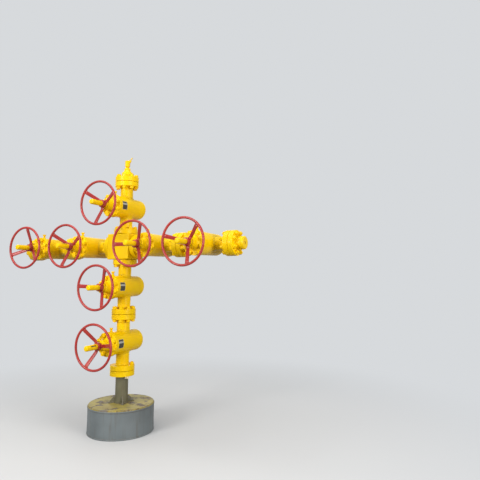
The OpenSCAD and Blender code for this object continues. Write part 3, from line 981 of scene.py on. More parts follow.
@dataclass(frozen=True)
class StudSet:
    """Studs and heavy hex nuts of one size, on one circle."""

    circle_d: float = 0.216
    count: int = 8
    stud_d: float = 0.0254
    pitch: float = 0.003175
    across: float = 0.0413
    nut_h: float = 0.0265
    tip: float = 0.004
    thread_depth: float = 0.22
    seed: int = 1

    def places(self) -> list[Matrix]:
        """Returns the place of each stud round local Z, half a step off the X axis."""
        angles = [(k + 0.5) * math.tau / self.count for k in range(self.count)]
        return [turn(angle) @ shift(self.circle_d / 2) for angle in angles]

    def nuts(self, form: Form, base: Matrix, at: Sequence[int] | None = None,
             tip: float | None = None) -> None:
        """Adds nuts with the ends of their studs.

        Args:
            form: The form that takes them.
            base: The face that they sit on, with local +Z out of it.
            at: The places that get one, or None for all.
            tip: Length of stud beyond a nut, if it isn't the usual one.
        """
        nut = hexagon(self.across, self.nut_h)
        end = threaded_end(self.stud_d, self.tip if tip is None else tip, self.pitch, self.thread_depth)
        dice = random.Random(self.seed)
        for k, place in enumerate(self.places()):
            angle = dice.uniform(0.0, math.tau)
            if at is None or k in at:
                form.add(nut, base @ place @ turn(angle))
                form.add(end, base @ place @ shift(z=self.nut_h))
        nut.bm.free()
        end.bm.free()

    def shanks(self, form: Form, base: Matrix, low: float, high: float,
               at: Sequence[int] | None = None) -> None:
        """Adds the plain shanks that cross a joint.

        Args:
            form: The form that takes them.
            base: The joint, with local +Z across it.
            low: Height at which they start.
            high: Height at which they end.
            at: The places that get one, or None for all.
        """
        shank = rod(self.stud_d / 2, low, high, 20)
        for k, place in enumerate(self.places()):
            if at is None or k in at:
                form.add(shank, base @ place)
        shank.bm.free()


def stud_holes(low: float, high: float, at: Sequence[int], diameter: float = 0.0286) -> Form:
    """Makes the cutter for stud holes.

    Args:
        low: Height at which the holes start.
        high: Height at which they end.
        at: The places on the stud circle that get one.
        diameter: Diameter of a hole.

    Returns:
        The cutter.
    """
    holes = Form()
    StudSet(stud_d=diameter).shanks(holes, Matrix.Identity(4), low, high, at)
    return holes


@dataclass(frozen=True)
class HexFitting:
    """A small fitting with a hex foot and a turned top."""

    across: float
    hex_h: float
    top: Sequence[Corner]
    steps: int

    def form(self) -> Form:
        """Returns the fitting, with its foot at the origin."""
        return hexagon(self.across, self.hex_h).add(lathe(self.top, self.steps))


GREASE_FITTING = HexFitting(0.029, 0.012, [
    (0.0, 0.010), (0.0115, 0.010), (0.0115, 0.022, 0.002), (0.0185, 0.029, 0.002), (0.0185, 0.043, 0.003),
    (0.0, 0.043),
], 40)
GREASE_NIPPLE = HexFitting(0.010, 0.005, [
    (0.0, 0.004), (0.0035, 0.004), (0.0035, 0.009, 0.0005), (0.0022, 0.011, 0.0005),
    (0.0032, 0.013, 0.0008), (0.0020, 0.0165, 0.0008), (0.0, 0.017),
], 20)


@dataclass
class FlangedJoint:
    """Studs and nuts of one joint between two flanges, or between a flange and the block."""

    name: str
    place: Matrix
    finishes: Finishes
    grip: float = 0.058
    nuts_above: bool = True
    nuts_below: bool = True
    tip: float = 0.004
    seed: int = 1

    def build(self) -> None:
        """Makes the joint's fasteners, as one piece."""
        studs = StudSet(seed=self.seed)
        form = Form()
        studs.shanks(form, self.place, -self.grip, self.grip)
        if self.nuts_above:
            studs.nuts(form, self.place @ shift(z=self.grip), tip=self.tip)
        if self.nuts_below:
            studs.nuts(form, self.place @ UPSIDE_DOWN @ shift(z=self.grip), tip=self.tip)
        form.piece(f"{self.name}_studs", self.finishes.yellow)


@dataclass
class PedestalJoint:
    """The joint on the pedestal, which is bolted at a few places only.

    Two studs hold it at the back. One bolt is put in from above, and a bare one from below.
    """

    place: Matrix
    finishes: Finishes
    grip: float = 0.058
    studded: Sequence[int] = (2, 3)
    from_above: int = 0
    from_below: int = 7
    tip: float = 0.008
    head_w: float = 0.044
    head_h: float = 0.021

    def build(self) -> None:
        """Makes the joint's fasteners."""
        studs = StudSet(seed=2)
        above = self.place @ shift(z=self.grip)
        below = self.place @ UPSIDE_DOWN @ shift(z=self.grip)
        filled = (*self.studded, self.from_above)
        form = Form()
        studs.shanks(form, self.place, -self.grip, self.grip, filled)
        studs.nuts(form, above, filled, self.tip)
        studs.nuts(form, below, [studs.count - 1 - k for k in self.studded], self.tip)
        form.piece("bottom_joint_studs", self.finishes.yellow)
        bolt = Form()
        studs.shanks(bolt, self.place, -self.grip - 0.001, self.grip * 0.7, (self.from_below,))
        head = hexagon(self.head_w, self.head_h)
        bolt.add(head, below @ studs.places()[studs.count - 1 - self.from_below])
        bolt.piece("bottom_joint_bolt", self.finishes.zinc)


# Sub-assemblies


@dataclass(frozen=True)
class FlangeSizes:
    """Sizes of an end flange."""

    od: float = 0.270
    thickness: float = 0.056
    raised_d: float = 0.152
    raised_h: float = 0.002
    bore_d: float = 0.078
    chamfer: float = 0.003

    @property
    def back(self) -> float:
        """Distance from the joint to the back of the flange."""
        return self.raised_h + self.thickness

    def corners(self) -> list[Corner]:
        """Draws the outline from the back rim to the raised face, with the joint at height zero.

        Returns:
            The outline's corners.
        """
        return [
            (self.od / 2, -self.back, self.chamfer), (self.od / 2, -self.raised_h, self.chamfer),
            (self.raised_d / 2, -self.raised_h, 0.0), (self.raised_d / 2, 0.0, 0.0),
        ]

    def upward(self) -> list[Corner]:
        """Returns the outline from the joint, at height zero, up to the flange's back rim."""
        return [(r, -z, rounding) for r, z, rounding in reversed(self.corners())]


@dataclass
class GateValve:
    """A gate valve with its bonnet, bearing cap, handwheel and stem guard.

    Its place and the way its flow runs come from the frame. Distances along the stem start at the
    flow axis.
    """

    name: str
    wheel_turn: float
    finishes: Finishes
    tagged: bool = False
    open_holes: Sequence[int] = ()
    flange: FlangeSizes = field(default_factory=FlangeSizes)
    neck_d: float = 0.146
    neck_fillet: float = 0.014
    root_fillet: float = 0.022
    root_sink: float = 0.0015
    front_d: float = 0.246
    front_length: float = 0.124
    rear_d: float = 0.236
    rear_round: float = 0.036
    bonnet_seat_d: float = 0.1794
    bonnet_flange_od: float = 0.264
    bonnet_flange_t: float = 0.044
    bonnet_neck_d: float = 0.148
    bearing_od: float = 0.118
    bearing_length: float = 0.044
    collar_d: float = 0.086
    collar_length: float = 0.022
    spindle_d: float = 0.046
    stem_d: float = 0.034
    stem_length: float = 0.072
    stem_pitch: float = 0.006
    pad_w: float = 0.032
    pad_h: float = 0.007
    pad_setback: float = 0.002
    rim_d: float = 0.496
    rim_bar_d: float = 0.026
    hub_d: float = 0.084
    hub_gap: float = 0.0005
    hub_length: float = 0.046
    dish: float = 0.092
    spoke_count: int = 3
    spoke_t: float = 0.011
    spoke_foot: float = 0.026
    spoke_lift: float = 0.008
    spoke_sink: float = 0.002
    spoke_bend: float = 0.018
    spoke_weld_r: float = 0.003
    spoke_w: tuple[float, float] = (0.034, 0.042)
    guard_od: float = 0.058
    guard_wall: float = 0.006
    guard_round: float = 0.013
    slot_w: float = 0.015
    slot_length: float = 0.078
    slot_start: float = 0.022
    centre: Vector = field(init=False)
    half: float = field(init=False)
    joint: float = field(init=False)
    rear: float = field(init=False)
    bearing_back: float = field(init=False)
    along_x: bool = field(init=False)

    def __post_init__(self) -> None:
        """Takes the valve's place from the frame."""
        low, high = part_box(f"{self.name}_body")
        self.along_x = high.x - low.x > high.z - low.z
        self.centre = Vector(((low.x + high.x) / 2, 0.0, (low.z + high.z) / 2))
        self.half = max(high.x - low.x, high.z - low.z) / 2
        self.joint = -low.y
        self.rear = high.y
        self.bearing_back = -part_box(f"{self.name}_bonnet")[0].y

    @property
    def at_centre(self) -> Matrix:
        """The place of what is drawn round the valve's centre."""
        return Matrix.Translation(self.centre)

    @property
    def on_stem(self) -> Matrix:
        """The place of what is drawn along the stem."""
        return self.at_centre @ ALONG_STEM

    @property
    def on_flow(self) -> Matrix:
        """The place of what is drawn along the flow."""
        return self.at_centre @ (ALONG_X if self.along_x else Matrix.Identity(4))

    @property
    def rim(self) -> float:
        """Distance to the barrel's front rim."""
        return self.joint - self.flange.raised_h

    @property
    def bonnet_front(self) -> float:
        """Distance to the front of the bonnet flange."""
        return self.joint + self.bonnet_flange_t

    @property
    def collar_front(self) -> float:
        """Distance to the front of the collar."""
        return self.bearing_back + self.bearing_length + self.collar_length

    @property
    def hub_back(self) -> float:
        """Distance to the back of the hub."""
        return self.collar_front + self.hub_gap

    @property
    def hub_front(self) -> float:
        """Distance to the front of the hub."""
        return self.hub_back + self.hub_length

    @property
    def rim_r(self) -> float:
        """Radius of the rim's centre line."""
        return (self.rim_d - self.rim_bar_d) / 2

    @property
    def spoke_ends(self) -> tuple[float, float]:
        """Distances to the middle of a spoke at the hub and at the rim."""
        half_t = self.spoke_t / 2
        return self.hub_back + half_t + self.spoke_lift, self.hub_back + self.dish - half_t + self.spoke_sink

    @property
    def pad_top(self) -> Vector:
        """Middle of the top of the grease fitting's pad, from the valve's centre."""
        return Vector((0.0, self.pad_setback + self.pad_w / 2 - self.rim, self.front_d / 2 + self.pad_h))

    def barrel_radius(self, along: float) -> float:
        """Finds the barrel's radius.

        Args:
            along: Distance along the stem.

        Returns:
            The radius there.
        """
        start, end = self.rear_round - self.rear, self.rim - self.front_length
        share = min(max((along - start) / (end - start), 0.0), 1.0)
        return (self.rear_d + (self.front_d - self.rear_d) * share) / 2

    def casting(self) -> Form:
        """Makes the body: a barrel along the stem with a draped neck and flange at each end.

        Returns:
            The body, drawn with its flow along Z.
        """
        rear_r, front_r, seat_r = self.rear_d / 2, self.front_d / 2, self.bonnet_seat_d / 2
        form = solid([
            (rear_r, -self.rear, self.rear_round), (front_r, self.rim - self.front_length, 0.02),
            (front_r, self.rim, 0.003), (seat_r, self.rim), (seat_r, self.joint),
        ], steps=112).placed(ALONG_STEM)
        neck = self.neck()
        form.add(neck)
        lower = neck.placed(Matrix.Rotation(math.pi, 4, "Y"))
        if self.open_holes:
            reach = self.flange.back + 0.01
            lower = carved(lower, stud_holes(-self.half - 0.01, -self.half + reach, self.open_holes))
        return form.add(lower)

    def neck(self) -> Form:
        """Makes one neck with its flange, draped onto the barrel.

        Returns:
            The neck, with its flow along +Z.
        """
        neck_r, bore_r = self.neck_d / 2, self.flange.bore_d / 2
        root_r = neck_r + self.root_fillet
        base = self.barrel_radius(0.0) - self.root_sink
        inside = base - 0.03
        back = self.half - self.flange.back
        bore_end = base - 0.012
        corners = [
            (root_r, inside), (root_r, base), (neck_r, base, self.root_fillet),
            (neck_r, back, self.neck_fillet),
            *[(r, self.half + z, rounding) for r, z, rounding in self.flange.corners()],
            (bore_r, self.half, 0.001), (bore_r, bore_end),
        ]
        top = back - self.neck_fillet

        def drape(spot: Vector) -> Vector:
            """Lowers a point near the barrel onto the barrel's surface.

            Args:
                spot: The point, with the flow along Z.

            Returns:
                Its new place.
            """
            if spot.to_2d().length < bore_r + MERGE_DISTANCE:
                return spot
            share = min(max((top - spot.z) / (top - base), 0.0), 1.0)
            radius = self.barrel_radius(-spot.y)
            surface = math.sqrt(max(radius ** 2 - spot.x ** 2, 0.0))
            return Vector((spot.x, spot.y, spot.z + share * (surface - self.root_sink - base)))

        return solid(corners, steps=96).moved(drape)

    def bonnet(self) -> Form:
        """Turns the bonnet.

        Returns:
            The bonnet, drawn along the stem.
        """
        shoulder = self.bonnet_front + (self.bearing_back - self.bonnet_front) * 0.6
        flange_r, bearing_r = self.bonnet_flange_od / 2, self.bearing_od / 2
        return solid([
            (flange_r, self.joint, 0.003), (flange_r, self.bonnet_front, 0.003),
            (self.bonnet_neck_d / 2, self.bonnet_front, self.neck_fillet),
            (bearing_r - 0.006, shoulder, 0.006), (bearing_r, shoulder + 0.006, 0.003),
            (bearing_r, self.bearing_back),
        ], steps=96)

    def fitting_pad(self) -> Form:
        """Returns the pad on the body that carries the grease fitting."""
        size = Vector((self.pad_w, self.pad_w, self.pad_w / 2 + self.pad_h))
        return block(size, 0.003).placed(Matrix.Translation(self.pad_top) @ shift(z=-size.z / 2))

    def bearing_cap(self) -> Form:
        """Turns the bearing housing with its collar and the spindle.

        Returns:
            The housing, drawn along the stem.
        """
        back, front = self.bearing_back, self.bearing_back + self.bearing_length
        r, collar_r, spindle_r = self.bearing_od / 2, self.collar_d / 2, self.spindle_d / 2
        groove, groove_top, spindle_end = 0.0015, back + 0.002, self.hub_front - 0.0005
        return solid([
            (r - groove, back), (r - groove, groove_top, 0.0005), (r, groove_top, 0.001), (r, front, 0.004),
            (collar_r, front, 0.003), (collar_r, self.collar_front, 0.002), (spindle_r, self.collar_front),
            (spindle_r, spindle_end),
        ], steps=80)

    def stem(self) -> Form:
        """Returns the threaded stem that shows through the guard's slots."""
        return threaded_end(self.stem_d, self.stem_length, self.stem_pitch).placed(shift(z=self.hub_front))

    def spoke(self) -> Form:
        """Bends and tapers one spoke.

        Returns:
            The spoke, along +X and drawn along the stem.
        """
        rim_r, half_t, bend = self.rim_r, self.spoke_t / 2, self.spoke_bend
        foot_r, toe_r = self.hub_d / 2 + self.spoke_foot, rim_r - self.spoke_foot
        foot_z, toe_z = self.spoke_ends
        slip = half_t * math.tan(math.atan2(toe_z - foot_z, toe_r - foot_r) / 2)
        root_r = self.hub_d / 2 - 0.006
        form = plate([
            (root_r, foot_z - half_t), (foot_r + slip, foot_z - half_t, bend),
            (toe_r + slip, toe_z - half_t, bend), (rim_r, toe_z - half_t), (rim_r, toe_z + half_t),
            (toe_r - slip, toe_z + half_t, bend), (foot_r - slip, foot_z + half_t, bend),
            (root_r, foot_z + half_t),
        ], 1.0, 0.0)
        narrow, wide = self.spoke_w

        def taper(spot: Vector) -> Vector:
            """Gives the spoke its width, which grows towards the rim."""
            share = (spot.x - root_r) / (rim_r - root_r)
            return Vector((spot.x, spot.y * (narrow + (wide - narrow) * share), spot.z))

        form.moved(taper)
        rims = [e for e in form.bm.edges if e.calc_face_angle(0.0) > math.radians(60.0)]
        softened(form, rims, 0.002)
        return form.close()

    def handwheel(self) -> Form:
        """Makes the handwheel with its welds.

        Returns:
            The wheel, drawn along the stem.
        """
        hub_r, hub_back, rim_r = self.hub_d / 2, self.hub_back, self.rim_r
        form = bar_ring(rim_r, self.rim_bar_d, hub_back + self.dish, 128, 20)
        recess_r, recess_foot = self.spindle_d / 2 + 0.003, self.hub_front - 0.004
        form.add(solid([
            (hub_r, hub_back, 0.003), (hub_r, self.hub_front, 0.006), (recess_r, self.hub_front, 0.001),
            (recess_r, recess_foot),
        ], steps=64))
        foot_z, toe_z = self.spoke_ends
        toe_weld = self.spoke_weld(rim_r - self.rim_bar_d / 2 - 0.001, toe_z, self.spoke_w[1])
        foot_weld = self.spoke_weld(hub_r + 0.001, foot_z, self.spoke_w[0])
        spoke = self.spoke().add(toe_weld).add(foot_weld)
        for k in range(self.spoke_count):
            form.add(spoke, turn(math.tau * k / self.spoke_count))
        return form

    def spoke_weld(self, x: float, z: float, width: float) -> Form:
        """Lays the bead round a spoke where it meets the hub or the rim.

        Args:
            x: Distance from the wheel's axis.
            z: Middle of the spoke along the stem.
            width: Width of the spoke there.

        Returns:
            The bead.
        """
        half_w, half_t, steps = width / 2, self.spoke_t / 2 + 0.0005, 8
        under = straight_path(Vector((x, -half_w, z - half_t)), Vector((x, half_w, z - half_t)), steps)
        over = straight_path(Vector((x, half_w, z + half_t)), Vector((x, -half_w, z + half_t)), steps)
        return bead(under + over, self.spoke_weld_r, True, x)

    def guard(self) -> Form:
        """Makes the stem guard with its two sight slots.

        Returns:
            The guard, drawn along the stem.
        """
        foot = self.hub_front
        end = -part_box(f"{self.name}_stem_guard")[0].y
        outer, inner = self.guard_od / 2, self.guard_od / 2 - self.guard_wall
        tube = lathe([
            (inner, foot), (outer, foot, 0.001), (outer, end, self.guard_round), (0.0, end),
            (0.0, end - self.guard_wall), (inner, end - self.guard_wall, 0.004),
        ], steps=64, ring=True)
        slot_r = self.slot_w / 2
        start, stop = foot + self.slot_start + slot_r, foot + self.slot_start + self.slot_length - slot_r
        cutter = Form()
        made = bmesh.ops.create_circle(cutter.bm, segments=32, radius=slot_r, cap_ends=True)
        for vert in made["verts"]:
            vert.co = Vector((-self.guard_od, vert.co.x, (stop if vert.co.y > 0.0 else start) + vert.co.y))
        grown = bmesh.ops.extrude_face_region(cutter.bm, geom=list(cutter.bm.faces))["geom"]
        bmesh.ops.translate(cutter.bm, verts=verts_of(grown), vec=(2 * self.guard_od, 0.0, 0.0))
        return carved(tube, cutter.close())

    def cap_screws(self) -> Form:
        """Sets the screws in the face of the bearing housing.

        Returns:
            The screws, in place.
        """
        front = self.bearing_back + self.bearing_length
        screws = StudSet(circle_d=0.1005, count=6, across=0.012, nut_h=0.0065, stud_d=0.006)
        form = Form()
        head = hexagon(screws.across, screws.nut_h)
        for k, place in enumerate(screws.places()):
            form.add(head, self.on_stem @ shift(z=front) @ place @ turn(k * 0.7))
        head.bm.free()
        return form

    def grease_fitting(self) -> Form:
        """Returns the fitting that stands on the body's pad."""
        return GREASE_FITTING.form().placed(Matrix.Translation(self.centre + self.pad_top))

    def grease_nipple(self) -> Form:
        """Returns the small nipple on top of the bearing housing."""
        middle, sink = self.bearing_back + self.bearing_length / 2, 0.0005
        return GREASE_NIPPLE.form().placed(self.at_centre @ shift(0.0, -middle, self.bearing_od / 2 - sink))

    def build(self) -> None:
        """Makes every piece of the valve."""
        name, paint, wheel_body = self.name, self.finishes.yellow, f"{self.name}_wheel"
        on_wheel = self.on_stem @ turn(self.wheel_turn)
        on_guard = on_wheel @ turn(GUARD_TURN)
        casting = self.casting().placed(self.on_flow)
        casting.add(self.fitting_pad(), self.at_centre)
        casting.piece(f"{name}_casting", paint, f"{name}_body")
        self.bonnet().placed(self.on_stem).piece(f"{name}_bonnet_shell", paint, f"{name}_bonnet")
        self.bearing_cap().placed(self.on_stem).piece(f"{name}_bearing_housing", paint, f"{name}_bearing_cap")
        self.stem().placed(self.on_stem).piece(f"{name}_stem", self.finishes.steel)
        self.handwheel().placed(on_wheel).piece(
            f"{name}_spoked_wheel", self.finishes.red, f"{name}_handwheel", body=wheel_body)
        self.guard().placed(on_guard).piece(
            f"{name}_slotted_guard", paint, f"{name}_stem_guard", body=wheel_body)
        studs = Form()
        StudSet(seed=len(name)).nuts(studs, self.on_stem @ shift(z=self.bonnet_front))
        studs.piece(f"{name}_bonnet_studs", paint)
        self.cap_screws().piece(f"{name}_cap_screws", paint)
        self.grease_fitting().piece(f"{name}_grease_fitting", paint)
        self.grease_nipple().piece(f"{name}_grease_nipple", self.finishes.zinc)
        if self.tagged:
            NamePlate(self).build()


@dataclass
class NamePlate:
    """A plain plate riveted to the +X side of a valve's body: a dark field with a bare edge and band."""

    valve: GateValve
    width: float = 0.086
    height: float = 0.094
    thickness: float = 0.0014
    at: float = 0.181
    rise: float = 0.004
    edge: float = 0.0025
    band: tuple[float, float] = (0.006, 0.026)
    rivet_d: float = 0.006
    rivet_inset: float = 0.007

    @property
    def radius(self) -> float:
        """Radius of the barrel under the plate."""
        return self.valve.barrel_radius(self.at)

    def sheet(self, low: float, high: float, width: float, lift: float, thickness: float) -> Form:
        """Bends a thin sheet round the barrel.

        Args:
            low: Height at which it starts, measured along the barrel from the plate's middle.
            high: Height at which it ends.
            width: Its width along the stem.
            lift: Distance from the barrel to its back.
            thickness: Its thickness.

        Returns:
            The sheet, in place.
        """
        form = Form()
        bmesh.ops.create_cube(form.bm, size=1.0, matrix=Matrix.Diagonal((thickness, width, high - low, 1.0)))
        upright = [e for e in form.bm.edges if abs(e.verts[0].co.z - e.verts[1].co.z) > (high - low) / 2]
        bmesh.ops.subdivide_edges(form.bm, edges=upright, cuts=12, use_grid_fill=True)

        def bend(spot: Vector) -> Vector:
            """Wraps a point round the barrel.

            Args:
                spot: The point on the flat sheet.

            Returns:
                Its place on the bent one.
            """
            radius = self.radius + lift + thickness / 2 + spot.x
            angle = (spot.z + (low + high) / 2 + self.rise) / self.radius
            return Vector((radius * math.cos(angle), spot.y - self.at, radius * math.sin(angle)))

        return form.close().moved(bend).placed(self.valve.at_centre)

    def rivets(self) -> Form:
        """Sets a rivet at each corner.

        Returns:
            The rivets, in place.
        """
        form = Form()
        top = self.radius + self.thickness
        dome = rod(self.rivet_d / 2, -0.001, 0.0022, 20, top=0.0020)
        for side_y in (-1, 1):
            for side_z in (-1, 1):
                angle = (self.rise + side_z * (self.height / 2 - self.rivet_inset)) / self.radius
                across = shift(y=side_y * (self.width / 2 - self.rivet_inset) - self.at)
                place = self.valve.at_centre @ across @ Matrix.Rotation(-angle, 4, "Y")
                form.add(dome, place @ shift(top) @ ALONG_X)
        return form

    def build(self) -> None:
        """Makes the plate, its field, its band and its rivets."""
        name, finishes = self.valve.name, self.valve.finishes
        half, inner = self.height / 2, self.width - 2 * self.edge
        plain = self.sheet(-half, half, self.width, 0.0, self.thickness)
        plain.add(self.sheet(*self.band, inner - 0.004, self.thickness + 0.0003, 0.0006))
        plain.piece(f"{name}_name_plate", finishes.tag_edge)
        dark = self.sheet(self.edge - half, half - self.edge, inner, self.thickness, 0.0004)
        dark.piece(f"{name}_name_plate_field", finishes.tag)
        self.rivets().piece(f"{name}_name_plate_rivets", finishes.zinc)


@dataclass
class CrossBlock:
    """The forged cross with a bare face on each port."""

    finishes: Finishes
    raised_d: float = 0.152
    raised_h: float = 0.002
    edge: float = 0.009
    worn_strip: float = 0.006

    def build(self) -> None:
        """Makes the block."""
        low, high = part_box("cross_block")
        size = high - low
        centre = Matrix.Translation((low + high) / 2)
        inner = Vector((size.x - 2 * self.raised_h, size.y, size.z - 2 * self.raised_h))
        form = block(inner, self.edge, 3, self.worn_strip).placed(centre)
        for half, way in ((size.z / 2, Matrix.Identity(4)), (size.x / 2, ALONG_X)):
            form.add(rod(self.raised_d / 2, -half, half), centre @ way)
        form.piece("forged_cross", self.finishes.yellow, "cross_block")


@dataclass
class OutletFlange:
    """A companion flange at the end of a wing, with a small threaded port in its long hub."""

    side: str
    finishes: Finishes
    flange: FlangeSizes = field(default_factory=FlangeSizes)
    hub_d: float = 0.138
    hub_chamfer: float = 0.008
    port_d: float = 0.026
    port_depth: float = 0.040
    passage_d: float = 0.012
    pitch: float = 0.001814
    thread_depth: float = 0.0011
    thread_runout: float = 0.008
    port_chamfer: float = 0.003

    def build(self) -> None:
        """Makes the flange with the thread of its port."""
        low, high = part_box(f"{self.side}_outlet_flange")
        length = high.x - low.x
        hub_r, port_r = self.hub_d / 2, self.port_d / 2
        foot, passage_r = length - self.port_depth, self.passage_d / 2
        thread: list[Corner] = []
        for k in range(int((self.port_depth - self.thread_runout) / self.pitch)):
            z = length - self.port_chamfer - k * self.pitch
            thread += [(port_r, z), (port_r + self.thread_depth, z - self.pitch / 2)]
        form = lathe([
            (passage_r, 0.0), *self.flange.upward(), (hub_r, self.flange.back, 0.006),
            (hub_r, length - self.hub_chamfer, 0.003), (hub_r - self.hub_chamfer, length, 0.003),
            (port_r + self.port_chamfer, length, 0.0005), *thread, (port_r, foot), (passage_r, foot),
        ], steps=88, ring=True)
        if self.side == "right":
            place = shift(low.x, 0.0, (low.z + high.z) / 2) @ ALONG_X
        else:
            place = shift(high.x, 0.0, (low.z + high.z) / 2) @ ALONG_X @ UPSIDE_DOWN
        form.placed(place).piece(
            f"{self.side}_companion_flange", self.finishes.yellow, f"{self.side}_outlet_flange")


@dataclass
class TreeCap:
    """The cap on top of the run: a blind flange with a step, a short cone and a boss."""

    finishes: Finishes
    flange: FlangeSizes = field(default_factory=FlangeSizes)
    step_d: float = 0.134
    cone_d: float = 0.104
    boss_d: float = 0.072
    cone_h: float = 0.057

    def build(self) -> None:
        """Makes the cap."""
        low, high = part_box("tree_cap")
        top = high.z - low.z
        step, chamfer = top - self.cone_h, self.cone_h * 0.16
        form = solid([
            *self.flange.upward(), (self.step_d / 2, self.flange.back, 0.006),
            (self.step_d / 2 - 0.004, step, 0.006), (self.cone_d / 2, step, 0.004),
            (self.boss_d / 2, step + self.cone_h * 0.42, 0.004), (self.boss_d / 2, top - chamfer, 0.002),
            (self.boss_d / 2 - chamfer, top, 0.002),
        ], steps=96)
        form.placed(shift(z=low.z)).piece("cap_flange_and_cone", self.finishes.yellow, "tree_cap")


@dataclass
class NeedleValve:
    """The small valve on the cap: an upright body, a leaning bonnet and a cross bar on its stem."""

    finishes: Finishes
    nipple_d: float = 0.028
    nipple_h: float = 0.008
    body_d: float = 0.058
    body_h: float = 0.080
    body_chamfer: float = 0.010
    port_d: float = 0.018
    port_depth: float = 0.020
    lean: float = math.radians(40.0)
    bonnet_share: float = 0.36
    bonnet_d: float = 0.030
    gland_w: float = 0.0258
    gland_h: float = 0.020
    reach: float = 0.068
    stem_d: float = 0.012
    stem_out: float = 0.038
    bar_d: float = 0.008
    bar_length: float = 0.056
    bar_turn: float = math.radians(128.0)

    def build(self) -> None:
        """Makes the valve's body and its handle."""
        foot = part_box("needle_valve_body")[0].z
        base = foot + self.nipple_h
        on_bonnet = shift(z=base + self.body_h * self.bonnet_share) @ Matrix.Rotation(self.lean, 4, "Y")
        body_r, port_r, port_foot = self.body_d / 2, self.port_d / 2, self.body_h - self.port_depth
        form = rod(self.nipple_d / 2, 0.0, self.nipple_h + 0.004, 32).placed(shift(z=foot))
        form.add(solid([
            (body_r - self.body_chamfer, 0.0, 0.002), (body_r, self.body_chamfer, 0.002),
            (body_r, self.body_h, 0.004), (port_r + 0.002, self.body_h, 0.0005),
            (port_r, self.body_h - 0.002), (port_r, port_foot),
        ], steps=64), shift(z=base))
        gland_foot = self.reach - self.gland_h
        form.add(rod(self.bonnet_d / 2, 0.0, gland_foot, 48, top=0.001), on_bonnet)
        form.add(hexagon(self.gland_w, self.gland_h), on_bonnet @ shift(z=gland_foot - 0.0005))
        form.piece("needle_valve_shell", self.finishes.yellow, "needle_valve_body")
        handle = rod(self.stem_d / 2, -0.006, self.stem_out, 32, top=0.002)
        bar = rod(self.bar_d / 2, -self.bar_length / 2, self.bar_length / 2, 24, 0.002, 0.002)
        handle.add(bar, turn(self.bar_turn) @ shift(z=self.stem_out - self.bar_d) @ ALONG_X)
        handle.placed(on_bonnet @ shift(z=self.reach)).piece(
            "needle_valve_cross_bar", self.finishes.yellow, "needle_valve_handle", body="needle_handle")


